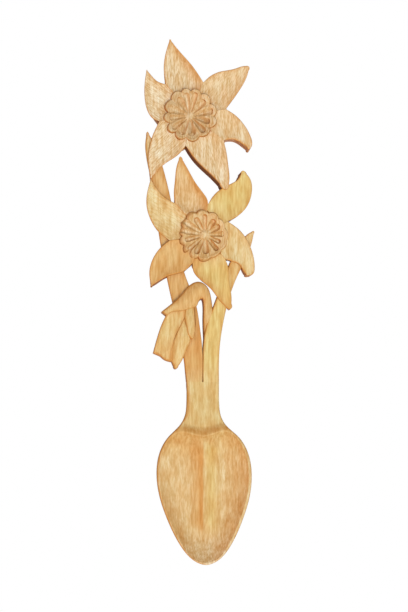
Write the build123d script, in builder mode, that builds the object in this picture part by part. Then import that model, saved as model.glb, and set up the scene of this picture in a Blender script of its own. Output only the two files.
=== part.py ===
"""Carved love spoon with two daffodils, a hanging bud, two long leaves and a heart-shaped bowl.

Millimetres. +Z is up as the spoon hangs, the face looks along -Y and the flat back lies in Y = 0.
The origin is the crotch between the upper flower's two lowest petals, on the back, where a nail holds it.
Every outline is drawn on the back plane as (X, Z) and raised forward to a level above that plane.
"""

import os
from math import cos, radians, sin

from build123d import *

os.makedirs("parts", exist_ok=True)

# Levels above the flat back
LEAF_FRONT = 8.0
REAR_PETAL_FRONT = 9.5
FRONT_PETAL_FRONT = 10.5
TRUMPET_SEAT = 9.0
TRUMPET_RIM = 14.0
CUP_EDGE = 13.0
CUP_FLOOR = 11.0
STIGMA_TOP = 12.5
BUD_STALK_FRONT = 10.5
BUD_SIDE_FRONT = 9.6
BUD_MIDDLE_FRONT = 10.2
BUD_TONGUE_FRONT = 11.0
BOWL_RIM = 10.5
BOWL_FLOOR = 3.0

# Petal troughs
TROUGH_RADIUS = 26.0
TROUGH_DEPTH = 0.9

# Trumpets, as scalloped frills round fluted cups
LOBES = 12
UPPER_TRUMPET_RADIUS = 13.4
LOWER_TRUMPET_RADIUS = 12.8
SCALLOP_DEPTH = 1.1
FRILL_WIDTH = 3.4
FRILL_EDGE_RADIUS = 0.5
FLUTE_RADIUS = 1.5
FLUTE_INNER_RADIUS = 3.2
STIGMA_RADIUS = 1.3

# Flower centres
UPPER_FLOWER_X = 2.0
UPPER_FLOWER_Z = 18.0
LOWER_FLOWER_X = 8.6
LOWER_FLOWER_Z = -43.2

# Neck and bowl
NECK_TOP_Z = -116.8
NECK_LENGTH = 21.4
NECK_CENTRE_X = 8.3
NECK_WIDTH = 16.2
SLIT_WIDTH = 0.5
FLARE_WIDTH = 23.9
BOWL_RIM_WIDTH = 1.6
# Stations down the neck: share of its length, share of its flare, and how far its back has rounded off
NECK_STATIONS = [(0.0, 0.0, 0.0), (0.5, 0.02, 0.25), (0.78, 0.3, 0.65), (1.0, 1.0, 1.0)]

NECK_BOTTOM_Z = NECK_TOP_Z - NECK_LENGTH
NECK_LEFT_X = NECK_CENTRE_X - NECK_WIDTH / 2
NECK_RIGHT_X = NECK_CENTRE_X + NECK_WIDTH / 2

# Upper flower: where neighbouring petals meet, then each petal's two edges and tip, about the flower's centre
UPPER_CROTCHES = [(-12.4, 15.7), (6.8, 16.9), (18.1, 3.4), (17.1, -12.8), (-2.0, -18.0), (-15.8, -3.6)]
UPPER_PETALS = [
    ("upper_petal_top", [(-13.1, 22.9), (-12.2, 31.2)], (-10.2, 38.4), [(-5.1, 32.2), (0.8, 25.4)]),
    ("upper_petal_upper_right", [(9.9, 20.0), (15.2, 22.5), (22.9, 24.1)], (30.0, 25.8), [(29.0, 21.1), (24.4, 13.0)]),
    ("upper_petal_right", [(22.8, 0.7), (27.7, -4.2), (30.7, -10.0), (31.5, -14.9)], (30.2, -17.8),
     [(26.9, -14.0), (22.8, -11.8)]),
    ("upper_petal_lower_right", [(18.4, -19.2), (19.4, -26.9), (19.8, -35.0)], (18.3, -38.4),
     [(11.2, -31.0), (4.1, -23.8)]),
    ("upper_petal_lower_left", [(-6.0, -20.4), (-12.3, -24.6), (-16.6, -28.9)], (-19.7, -32.6),
     [(-21.0, -25.4), (-20.6, -17.2), (-18.7, -10.3)]),
    ("upper_petal_left", [(-20.5, 0.4), (-22.8, 7.8), (-22.8, 16.6)], (-21.9, 22.3), [(-19.8, 19.5), (-16.5, 16.5)]),
]

# Lower flower, in the same way
LOWER_CROTCHES = [(-14.2, 16.1), (2.6, 15.8), (12.4, 7.2), (11.3, -12.6), (-5.2, -14.2), (-16.8, -2.8)]
LOWER_PETALS = [
    ("lower_petal_top", [(-14.7, 20.6), (-14.2, 27.3), (-13.1, 35.7)], (-11.6, 39.5), [(-7.9, 33.6), (-2.9, 25.4)]),
    ("lower_petal_upper_right", [(5.2, 20.1), (10.1, 23.2), (15.9, 26.6), (18.4, 29.5)], (20.3, 32.9),
     [(23.9, 28.5), (24.5, 22.1), (22.0, 15.0), (17.4, 10.2)]),
    ("lower_petal_right", [(16.6, 4.5), (21.4, -0.6), (24.5, -6.9), (26.1, -14.4), (24.9, -19.7)], (22.1, -20.4),
     [(20.0, -16.3), (16.6, -13.6)]),
    ("lower_petal_bottom", [(13.0, -15.6), (13.2, -22.6), (14.4, -30.7)], (13.3, -37.6),
     [(9.0, -33.5), (3.5, -26.5), (-2.3, -21.6), (-4.8, -18.2)]),
    ("lower_petal_lower_left", [(-10.0, -18.5), (-17.5, -20.7), (-22.3, -23.4)], (-26.1, -26.4),
     [(-26.9, -19.9), (-24.9, -11.6), (-20.8, -6.0)]),
    ("lower_petal_left", [(-21.9, 1.3), (-26.4, 8.3), (-28.2, 16.4), (-27.6, 22.8)], (-26.3, 28.3),
     [(-23.2, 23.4), (-19.1, 19.1)]),
]

# Leaves: outer points from the neck up to each tip and back down
LEFT_LEAF_RISING = [(-1.5, -104.9), (-7.6, -74.8), (-13.2, -44.6), (-18.8, -9.1), (-20.5, 3.7)]
LEFT_LEAF_TIP = (-19.6, 9.5)
LEFT_LEAF_FALLING = [(-16.3, 4.0), (-11.8, -8.0), (-5.9, -33.9), (0.3, -64.7), (4.8, -77.5), (7.2, -98.4)]
RIGHT_LEAF_RISING = [(9.2, -98.9), (10.6, -88.8), (13.8, -79.5), (22.6, -56.2), (27.4, -46.8), (32.5, -41.4)]
RIGHT_LEAF_TIP = (34.7, -40.5)
RIGHT_LEAF_FALLING = [(33.3, -47.2), (25.9, -64.0), (19.1, -86.5), (17.2, -99.3)]

# Bud on its bent stalk
STALK_FOOT = (12.6, -93.0)
STALK_OUTER = [(13.4, -81.9), (12.4, -74.6), (10.4, -69.2), (6.6, -67.0), (2.6, -68.3), (-1.9, -73.0), (-6.7, -77.5)]
SPATHE_TIP = (-12.1, -81.8)
SPATHE_NOTCH = (-9.6, -83.9)
STALK_INNER = [(-7.7, -82.0), (-2.7, -80.8), (3.3, -77.4), (6.6, -74.9), (8.4, -75.4), (8.9, -84.0)]
STALK_HEEL = (9.5, -96.0)
BUD_LEFT_SIDE = [(-7.0, -78.5), (-11.4, -86.8), (-14.1, -94.6), (-16.2, -102.4)]
BUD_LEFT_HEM = [(-16.2, -102.4), (-13.9, -103.0), (-10.8, -105.5), (-6.9, -106.8)]
BUD_FOLD = [(-6.9, -106.8), (-6.4, -98.0), (-3.9, -91.3), (-0.7, -85.0)]
BUD_ROOT_LEFT = (-0.6, -77.0)
BUD_MIDDLE_TIP = (-5.2, -110.2)
BUD_MIDDLE_SIDE = [(-3.1, -106.5), (-0.7, -101.8), (2.3, -94.6)]
BUD_TONGUE_LEFT = [(2.3, -94.6), (0.4, -88.7), (-0.7, -85.0)]
BUD_TONGUE_TIP = (3.2, -95.4)
BUD_TONGUE_RIGHT = [(4.0, -92.5), (4.2, -83.5), (4.1, -74.8)]

# Bowl outline below the neck, as (half width, drop), leaning a little towards its tip
BOWL_STATIONS = [(17.5, 5.8), (21.9, 13.9), (23.4, 24.4), (22.0, 35.4), (17.9, 47.5), (12.0, 59.4), (6.0, 66.2)]
BOWL_LENGTH = 68.7
BOWL_OFFSET_X = 0.5
BOWL_LEAN = 0.9
# Back of the bowl: level as a share of the rim's, and the outline's share there
BOWL_BACK_SHARES = [(0.0, 0.45), (0.14, 0.70), (0.43, 0.90), (0.76, 0.985), (1.0, 1.0)]
# Heart hollow: drop below the neck of the two humps, of the cleft between them and of its deepest point
HUMP_DROP = 1.3
CLEFT_DROP = 3.4
HUMP_HALF_WIDTH = 8.2
HOLLOW_CENTRE_DROP = 35.0
# Depth as a share of the hollow's, and the heart outline's share there
HOLLOW_SHARES = [(-0.08, 1.02), (0.0, 1.0), (0.25, 0.93), (0.62, 0.72), (0.9, 0.42), (1.0, 0.16)]


def about(centre_x, centre_z, points):
    """Shift outline points so that they stand about a centre."""
    return [(centre_x + x, centre_z + z) for x, z in points]


def polar(centre, radius, angle):
    """Point on the face at a radius and an angle in degrees about a centre."""
    return (centre[0] + radius * cos(radians(angle)), centre[1] + radius * sin(radians(angle)))


def direction_plane(start, end, level):
    """Plane at a level whose Z axis runs along the face from start towards end."""
    run = Vector(end[0] - start[0], 0, end[1] - start[1]).normalized()
    return Plane(origin=(start[0], -level, start[1]), x_dir=(0, -1, 0), z_dir=(run.X, run.Y, run.Z))


def write(solid, name):
    """Label a finished piece and write it."""
    solid.label = name
    export_step(solid, f"parts/{name}.step")


# Left leaf, running behind both flowers to its own tip
with BuildPart() as left_leaf:
    with BuildSketch(Plane.XZ):
        with BuildLine():
            Spline((NECK_LEFT_X, NECK_TOP_Z), *LEFT_LEAF_RISING, LEFT_LEAF_TIP)
            Spline(LEFT_LEAF_TIP, *LEFT_LEAF_FALLING, (NECK_CENTRE_X - SLIT_WIDTH / 2, NECK_TOP_Z))
            Line((NECK_CENTRE_X - SLIT_WIDTH / 2, NECK_TOP_Z), (NECK_LEFT_X, NECK_TOP_Z))
        make_face()
    extrude(amount=LEAF_FRONT)
write(left_leaf.part, "left_leaf")

# Right leaf, across a narrow slit from the left one
with BuildPart() as right_leaf:
    with BuildSketch(Plane.XZ):
        with BuildLine():
            Spline((NECK_CENTRE_X + SLIT_WIDTH / 2, NECK_TOP_Z), *RIGHT_LEAF_RISING, RIGHT_LEAF_TIP)
            Spline(RIGHT_LEAF_TIP, *RIGHT_LEAF_FALLING, (NECK_RIGHT_X, NECK_TOP_Z))
            Line((NECK_RIGHT_X, NECK_TOP_Z), (NECK_CENTRE_X + SLIT_WIDTH / 2, NECK_TOP_Z))
        make_face()
    extrude(amount=LEAF_FRONT)
write(right_leaf.part, "right_leaf")


def make_petal(centre, crotch_before, rising, tip, falling, crotch_after, front, trumpet_radius, in_front):
    """Petal from the flower's centre to its tip, troughed along its length and lapped over what crosses behind."""
    with BuildPart() as petal:
        with BuildSketch(Plane.XZ):
            with BuildLine():
                Spline(crotch_before, *rising, tip)
                Spline(tip, *falling, crotch_after)
                Polyline(crotch_after, centre, crotch_before)
            make_face()
        extrude(amount=front)
        with Locations(direction_plane(centre, tip, front + TROUGH_RADIUS - TROUGH_DEPTH)):
            reach = (Vector(*tip) - Vector(*centre)).length
            Cylinder(TROUGH_RADIUS, 2 * reach, mode=Mode.SUBTRACT)
        with BuildSketch(Plane.XZ.offset(TRUMPET_SEAT)):
            with Locations(centre):
                Circle(trumpet_radius)
        extrude(amount=TRUMPET_RIM, mode=Mode.SUBTRACT)
        for other in in_front:
            add(other, mode=Mode.SUBTRACT)
    return petal.part


def make_flower(centre, crotches, petals, trumpet_radius, in_front):
    """Write one flower's petals, every second one standing a step in front, and return them by name."""
    made = {}
    places = about(*centre, crotches)
    for index, (name, rising, tip, falling) in enumerate(petals):
        front = FRONT_PETAL_FRONT if index % 2 == 0 else REAR_PETAL_FRONT
        made[name] = make_petal(
            centre,
            places[index],
            about(*centre, rising),
            about(*centre, [tip])[0],
            about(*centre, falling),
            places[(index + 1) % len(places)],
            front,
            trumpet_radius,
            in_front,
        )
        write(made[name], name)
    return made


def make_frill(centre, trumpet_radius):
    """Scalloped ring that stands on the petals round the trumpet's cup."""
    step = 360 / LOBES
    with BuildPart() as frill:
        with BuildSketch(Plane.XZ.offset(TRUMPET_SEAT)):
            with BuildLine():
                for lobe in range(LOBES):
                    ThreePointArc(
                        polar(centre, trumpet_radius - SCALLOP_DEPTH, step * (lobe - 0.5)),
                        polar(centre, trumpet_radius, step * lobe),
                        polar(centre, trumpet_radius - SCALLOP_DEPTH, step * (lobe + 0.5)),
                    )
            make_face()
            with Locations(centre):
                Circle(trumpet_radius - FRILL_WIDTH, mode=Mode.SUBTRACT)
        extrude(amount=TRUMPET_RIM - TRUMPET_SEAT)
        chamfer(frill.faces().sort_by(Axis.Y)[0].inner_wires()[0].edges(), TRUMPET_RIM - CUP_EDGE, 2 * FRILL_EDGE_RADIUS)
    return frill.part


def make_cup(centre, trumpet_radius):
    """Fluted dish inside the frill, with the stigma standing in its middle."""
    cup_radius = trumpet_radius - FRILL_WIDTH
    axis_plane = Plane(origin=(centre[0], 0, centre[1]), x_dir=(1, 0, 0), z_dir=(0, 0, 1))
    with BuildPart() as cup:
        with BuildSketch(axis_plane):
            with BuildLine():
                Polyline(
                    (0, -STIGMA_TOP),
                    (0, -TRUMPET_SEAT),
                    (cup_radius, -TRUMPET_SEAT),
                    (cup_radius, -CUP_EDGE),
                    (STIGMA_RADIUS, -CUP_FLOOR),
                )
                TangentArc((0, -STIGMA_TOP), (STIGMA_RADIUS, -CUP_FLOOR), tangent=(1, 0))
            make_face()
        revolve(axis=Axis((centre[0], 0, centre[1]), (0, 1, 0)))
        flute_run = cup_radius - FLUTE_INNER_RADIUS
        face_plane = Plane(origin=(centre[0], -CUP_EDGE - FLUTE_RADIUS / 2, centre[1]), x_dir=(1, 0, 0), z_dir=(0, -1, 0))
        with Locations(face_plane):
            with PolarLocations(FLUTE_INNER_RADIUS + flute_run / 2, LOBES):
                Cylinder(FLUTE_RADIUS, flute_run, rotation=(0, 90, 0), mode=Mode.SUBTRACT)
    return cup.part


UPPER_FLOWER = (UPPER_FLOWER_X, UPPER_FLOWER_Z)
LOWER_FLOWER = (LOWER_FLOWER_X, LOWER_FLOWER_Z)
leaves = [left_leaf.part, right_leaf.part]

# Upper flower first, because its lowest petal laps over the lower flower
upper_petals = make_flower(UPPER_FLOWER, UPPER_CROTCHES, UPPER_PETALS, UPPER_TRUMPET_RADIUS, leaves)
crossing = [upper_petals["upper_petal_lower_right"], upper_petals["upper_petal_lower_left"]]
lower_petals = make_flower(LOWER_FLOWER, LOWER_CROTCHES, LOWER_PETALS, LOWER_TRUMPET_RADIUS, leaves + crossing)

# Trumpets
for flower, centre, trumpet_radius in (
    ("upper", UPPER_FLOWER, UPPER_TRUMPET_RADIUS),
    ("lower", LOWER_FLOWER, LOWER_TRUMPET_RADIUS),
):
    write(make_frill(centre, trumpet_radius), f"{flower}_trumpet_frill")
    write(make_cup(centre, trumpet_radius), f"{flower}_trumpet_cup")

# Bud stalk, rising behind the right leaf, bending over and widening into the spathe above the bud
with BuildPart() as bud_stalk:
    with BuildSketch(Plane.XZ):
        with BuildLine():
            Spline(STALK_FOOT, *STALK_OUTER, SPATHE_TIP)
            Line(SPATHE_TIP, SPATHE_NOTCH)
            Spline(SPATHE_NOTCH, *STALK_INNER, STALK_HEEL)
            Line(STALK_HEEL, STALK_FOOT)
        make_face()
    extrude(amount=BUD_STALK_FRONT)
    for leaf in leaves:
        add(leaf, mode=Mode.SUBTRACT)
    add(lower_petals["lower_petal_bottom"], mode=Mode.SUBTRACT)
write(bud_stalk.part, "bud_stalk")

# Bud: left petal, middle petal with the pointed tip, and the short tongue in front
with BuildPart() as bud_left_petal:
    with BuildSketch(Plane.XZ):
        with BuildLine():
            Spline(*BUD_LEFT_SIDE)
            Spline(*BUD_LEFT_HEM)
            Spline(*BUD_FOLD)
            Polyline(BUD_FOLD[-1], BUD_ROOT_LEFT, BUD_LEFT_SIDE[0])
        make_face()
    extrude(amount=BUD_SIDE_FRONT)
    add(left_leaf.part, mode=Mode.SUBTRACT)
    add(bud_stalk.part, mode=Mode.SUBTRACT)
write(bud_left_petal.part, "bud_left_petal")

with BuildPart() as bud_middle_petal:
    with BuildSketch(Plane.XZ):
        with BuildLine():
            Spline(*BUD_FOLD)
            Line(BUD_FOLD[0], BUD_MIDDLE_TIP)
            Spline(BUD_MIDDLE_TIP, *BUD_MIDDLE_SIDE)
            Spline(*BUD_TONGUE_LEFT)
        make_face()
    extrude(amount=BUD_MIDDLE_FRONT)
    add(left_leaf.part, mode=Mode.SUBTRACT)
write(bud_middle_petal.part, "bud_middle_petal")

with BuildPart() as bud_tongue:
    with BuildSketch(Plane.XZ):
        with BuildLine():
            Spline(*BUD_TONGUE_LEFT)
            Line(BUD_TONGUE_LEFT[0], BUD_TONGUE_TIP)
            Spline(BUD_TONGUE_TIP, *BUD_TONGUE_RIGHT)
            Polyline(BUD_TONGUE_RIGHT[-1], BUD_ROOT_LEFT, BUD_TONGUE_LEFT[-1])
        make_face()
    extrude(amount=BUD_TONGUE_FRONT)
    add(left_leaf.part, mode=Mode.SUBTRACT)
    add(bud_stalk.part, mode=Mode.SUBTRACT)
write(bud_tongue.part, "bud_tongue")

# Neck, where the leaves join: its front climbs to the bowl's rim and its back rounds off into the bowl's
with BuildPart() as neck:
    for drop_share, flare_share, rounding in NECK_STATIONS:
        half_width = (NECK_WIDTH + flare_share * (FLARE_WIDTH - NECK_WIDTH)) / 2
        level = LEAF_FRONT + drop_share * (BOWL_RIM - LEAF_FRONT)
        side = []
        for level_share, outline_share in BOWL_BACK_SHARES:
            side.append((half_width * (1 - rounding * (1 - outline_share)), -level * level_share))
        with BuildSketch(Plane.XY.offset(NECK_TOP_Z - drop_share * NECK_LENGTH)):
            right = [(NECK_CENTRE_X + x, y) for x, y in side]
            left = [(NECK_CENTRE_X - x, y) for x, y in side]
            with BuildLine():
                Spline(*right)
                Line(right[-1], left[-1])
                Spline(*left)
                Line(left[0], right[0])
            make_face()
    loft()
write(neck.part, "neck")


def bowl_outline(inset):
    """Bowl outline from its left shoulder round the tip to its right one, drawn in by an inset, about the neck's foot."""
    left = []
    right = []
    for half_width, drop in BOWL_STATIONS:
        middle = BOWL_OFFSET_X + BOWL_LEAN * drop / BOWL_LENGTH
        left.append((middle - half_width + inset, -drop))
        right.append((middle + half_width - inset, -drop))
    tip = (BOWL_OFFSET_X + BOWL_LEAN, -BOWL_LENGTH + inset)
    return left, tip, right[::-1]


# Bowl, with a rounded back and a heart-shaped hollow whose cleft runs down as a soft ridge
with BuildPart() as bowl:
    left, tip, right = bowl_outline(0)
    shoulder = FLARE_WIDTH / 2
    for level_share, outline_share in BOWL_BACK_SHARES:
        with BuildSketch(Plane.XZ.offset(level_share * BOWL_RIM)):
            points = [(-shoulder, 0), *left, tip, *right, (shoulder, 0)]
            points = [(NECK_CENTRE_X + x * outline_share, NECK_BOTTOM_Z + z * outline_share) for x, z in points]
            with BuildLine():
                Spline(*points)
                Line(points[-1], points[0])
            make_face()
    loft()
    left, tip, right = bowl_outline(BOWL_RIM_WIDTH)
    middle = NECK_CENTRE_X + BOWL_OFFSET_X
    hollow_z = NECK_BOTTOM_Z - HOLLOW_CENTRE_DROP
    for depth_share, outline_share in HOLLOW_SHARES:
        level = BOWL_RIM - depth_share * (BOWL_RIM - BOWL_FLOOR)
        with BuildSketch(Plane.XZ.offset(level)):
            cleft = (BOWL_OFFSET_X, -CLEFT_DROP)
            left_lobe = [cleft, (BOWL_OFFSET_X - HUMP_HALF_WIDTH, -HUMP_DROP), *left, tip]
            right_lobe = [tip, *right, (BOWL_OFFSET_X + HUMP_HALF_WIDTH, -HUMP_DROP), cleft]
            with BuildLine():
                for lobe in (left_lobe, right_lobe):
                    Spline(
                        *[
                            (
                                middle + (NECK_CENTRE_X + x - middle) * outline_share,
                                hollow_z + (NECK_BOTTOM_Z + z - hollow_z) * outline_share,
                            )
                            for x, z in lobe
                        ]
                    )
            make_face()
    loft(mode=Mode.SUBTRACT)
write(bowl.part, "bowl")
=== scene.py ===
"""Carved limewood love spoon: two daffodils, a drooping bud, two long leaves and a heart-shaped bowl.

Outlines are in millimetres on the face, as (X, Z), and levels are millimetres in front of the flat back.
Flower centres, levels and the neck's place come from the frame. Every carved element stands for one node.
"""

import logging
import math
from dataclasses import dataclass
from enum import Enum
from typing import Any

import bpy
import numpy as np
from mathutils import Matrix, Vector


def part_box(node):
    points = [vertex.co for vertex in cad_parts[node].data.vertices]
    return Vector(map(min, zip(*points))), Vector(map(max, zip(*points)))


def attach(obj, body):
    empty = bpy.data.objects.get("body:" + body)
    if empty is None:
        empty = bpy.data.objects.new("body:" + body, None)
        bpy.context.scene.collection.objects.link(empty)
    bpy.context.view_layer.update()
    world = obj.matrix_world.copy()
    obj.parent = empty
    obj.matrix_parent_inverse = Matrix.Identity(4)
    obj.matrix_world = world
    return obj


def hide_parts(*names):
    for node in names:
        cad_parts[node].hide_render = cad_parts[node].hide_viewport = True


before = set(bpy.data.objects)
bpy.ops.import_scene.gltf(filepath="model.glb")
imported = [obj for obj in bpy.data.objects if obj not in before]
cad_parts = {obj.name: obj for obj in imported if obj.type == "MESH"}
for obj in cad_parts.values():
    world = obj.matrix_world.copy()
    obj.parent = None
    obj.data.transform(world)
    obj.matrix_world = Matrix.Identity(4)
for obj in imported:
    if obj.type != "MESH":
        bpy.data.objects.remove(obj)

Array = np.ndarray
Number = Array | float
Point = tuple[float, float]
Points = list[Point]
Place = tuple[float, float, float]
Stops = tuple[float, float, float, float]
Material = bpy.types.Material
Socket = bpy.types.NodeSocket
Tree = bpy.types.NodeTree

LOG = logging.getLogger("love_spoon")
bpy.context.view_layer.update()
BODY = "root"
MM = 0.001
TURN = 2.0 * math.pi
SHARP_ANGLE = math.radians(48)
LINE_POINTS = 600
# Small size that keeps divisors above 0
LEAST = 0.01
# Half ellipse that closes a tip: its angles, and its reach as a share of the way to the tip
TIP_TURNS = np.radians([12.0, 26.0, 40.0, 54.0, 67.0, 78.0, 85.0])[:, None]
TIP_REACH = 0.86
FACING_POWER = 1.5
# Waves of the knife's unevenness, as (share, rate across, rate up, start)
KNIFE_WAVES = ((1.0, 0.83, 0.31, 0.0), (0.7, -0.59, 0.47, 1.3), (0.5, 1.31, -0.22, 0.4))


class Tone(Enum):
    """Where the board's own colour drifts, as shares of honey and of gold laid over its cream."""

    CREAM = (0.0, 0.0)
    IVORY = (0.1, 0.0)
    PALE = (0.27, 0.04)
    PEACH = (0.45, 0.05)
    STRAW = (0.13, 0.5)
    GOLDEN = (0.15, 1.0)
    CORN = (0.23, 0.7)
    BISCUIT = (0.32, 0.3)
    APRICOT = (0.33, 0.0)
    TAWNY = (0.42, 0.15)
    WHEAT = (0.47, 0.6)
    HONEY = (0.8, 0.35)
    AMBER = (1.0, 0.1)


Tones = tuple[tuple[float, Tone], ...]


# Lines and shares


def level_of(node: str) -> float:
    """Level of a node's front above the flat back, in millimetres."""
    return -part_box(node)[0].y / MM


def face_box(node: str) -> tuple[Array, Array]:
    """Lowest and highest corners of a node on the face, in millimetres."""
    low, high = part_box(node)
    return np.array([low.x, low.z]) / MM, np.array([high.x, high.z]) / MM


def half_width(node: str) -> float:
    """Half of a node's width on the face, in millimetres."""
    low, high = face_box(node)
    return (high[0] - low[0]) / 2.0


def smooth_step(value: Array, start: Number, end: Number) -> Array:
    """Ease from 0 at start to 1 at end, as three times the square less twice the cube."""
    share = np.clip((value - start) / (end - start), 0.0, 1.0)
    return share * share * (3.0 - 2.0 * share)


def rise_and_fall(value: Array, stops: Stops) -> Array:
    """Ease from 0 at the first stop to 1 at the second, and from the third back to 0 at the fourth."""
    return smooth_step(value, *stops[:2]) * (1.0 - smooth_step(value, *stops[2:]))


def bell(value: Array, width: Number, middle: float = 0.0) -> Array:
    """Bell curve: e to the minus square of the distance from the middle, as a share of the width."""
    return np.exp(-(((value - middle) / width) ** 2))


def lengths(line: Array) -> Array:
    """Length of a line up to each of its points."""
    return np.concatenate([[0.0], np.cumsum(np.linalg.norm(np.diff(line, axis=0), axis=1))])


def at_shares(line: Array, shares: Array) -> Array:
    """Pick points of a line at shares of its length."""
    run = lengths(line)
    return np.stack([np.interp(shares, run / run[-1], line[:, axis]) for axis in range(2)], axis=1)


def spline_through(points: Points) -> Array:
    """Draw a smooth line through given points.

    Each span is a cubic of the chord length run so far. Slope and bend carry on from span to span, and the
    two ends have no bend.

    Args:
        points: at least two points of the line.

    Returns:
        LINE_POINTS points, evenly spaced along the line.
    """
    knots = np.asarray(points, float)
    run = lengths(knots)
    gaps = np.diff(run)
    count = len(knots)
    system = np.eye(count)
    inner = np.arange(1, count - 1)
    system[inner, inner - 1] = gaps[:-1]
    system[inner, inner] = 2.0 * (gaps[:-1] + gaps[1:])
    system[inner, inner + 1] = gaps[1:]
    turn = np.zeros_like(knots)
    turn[1:-1] = 6.0 * np.diff(np.diff(knots, axis=0) / gaps[:, None], axis=0)
    bend = np.linalg.solve(system, turn)
    place = np.linspace(0.0, run[-1], LINE_POINTS)
    span = np.clip(np.searchsorted(run, place, side="right") - 1, 0, count - 2)
    gap = gaps[span][:, None]
    ahead = (run[span + 1] - place)[:, None]
    behind = (place - run[span])[:, None]
    line = (bend[span] * ahead**3 + bend[span + 1] * behind**3) / (6.0 * gap)
    line += (knots[span] / gap - bend[span] * gap / 6.0) * ahead
    line += (knots[span + 1] / gap - bend[span + 1] * gap / 6.0) * behind
    return at_shares(line, np.linspace(0.0, 1.0, LINE_POINTS))


def turned(x: Array, z: Array, degrees: float) -> tuple[Array, Array]:
    """Distances of places beside a direction on the face and along it, for degrees from level."""
    angle = math.radians(degrees)
    return x * math.sin(angle) - z * math.cos(angle), x * math.cos(angle) + z * math.sin(angle)


def rounded_drop(inset: Array, radius: Array) -> Array:
    """Drop of a rounded edge: a quarter circle of the radius, met at that inset from the edge."""
    reach = np.clip(radius - inset, 0.0, None)
    return radius - np.sqrt(np.clip(radius**2 - reach**2, 0.0, None))


def hand_cut(x: Array, z: Array, size: float) -> Array:
    """Shallow unevenness that a knife leaves: three slow waves that cross at odd angles, added up."""
    waves = (share * np.sin(across * x + up * z + start) for share, across, up, start in KNIFE_WAVES)
    return size * sum(waves)


def towards_tip(rows: int, power: float) -> Array:
    """Shares from 0 to 1 that crowd towards 1, as 1 less a power of what is left."""
    return 1.0 - (1.0 - np.linspace(0.0, 1.0, rows)) ** power


def pointed_rows(first: Array, second: Array, shares: Array, tip_radius: float) -> tuple[Array, Array]:
    """Place rows along two edges that meet in a tip, and round the tip off.

    The edges are cut where they are two tip radii apart. Half an ellipse ending near the tip closes them.

    Args:
        first: one edge, ending in the tip.
        second: the other edge, ending in the tip.
        shares: shares of the cut edges' length for the rows.
        tip_radius: half the width at which the ellipse starts.

    Returns:
        The rows of the first edge and of the second.
    """
    apart = np.linalg.norm(first - second, axis=1)
    cut = np.nonzero(apart >= 2.0 * tip_radius)[0][-1] + 1
    rows = [at_shares(edge[:cut], shares) for edge in (first, second)]
    middle = (rows[0][-1] + rows[1][-1]) / 2.0
    half = (rows[1][-1] - rows[0][-1]) / 2.0 * np.cos(TIP_TURNS)
    spine = middle + (first[-1] - middle) * TIP_REACH * np.sin(TIP_TURNS)
    return np.concatenate([rows[0], spine - half]), np.concatenate([rows[1], spine + half])


# Carved skins


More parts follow.
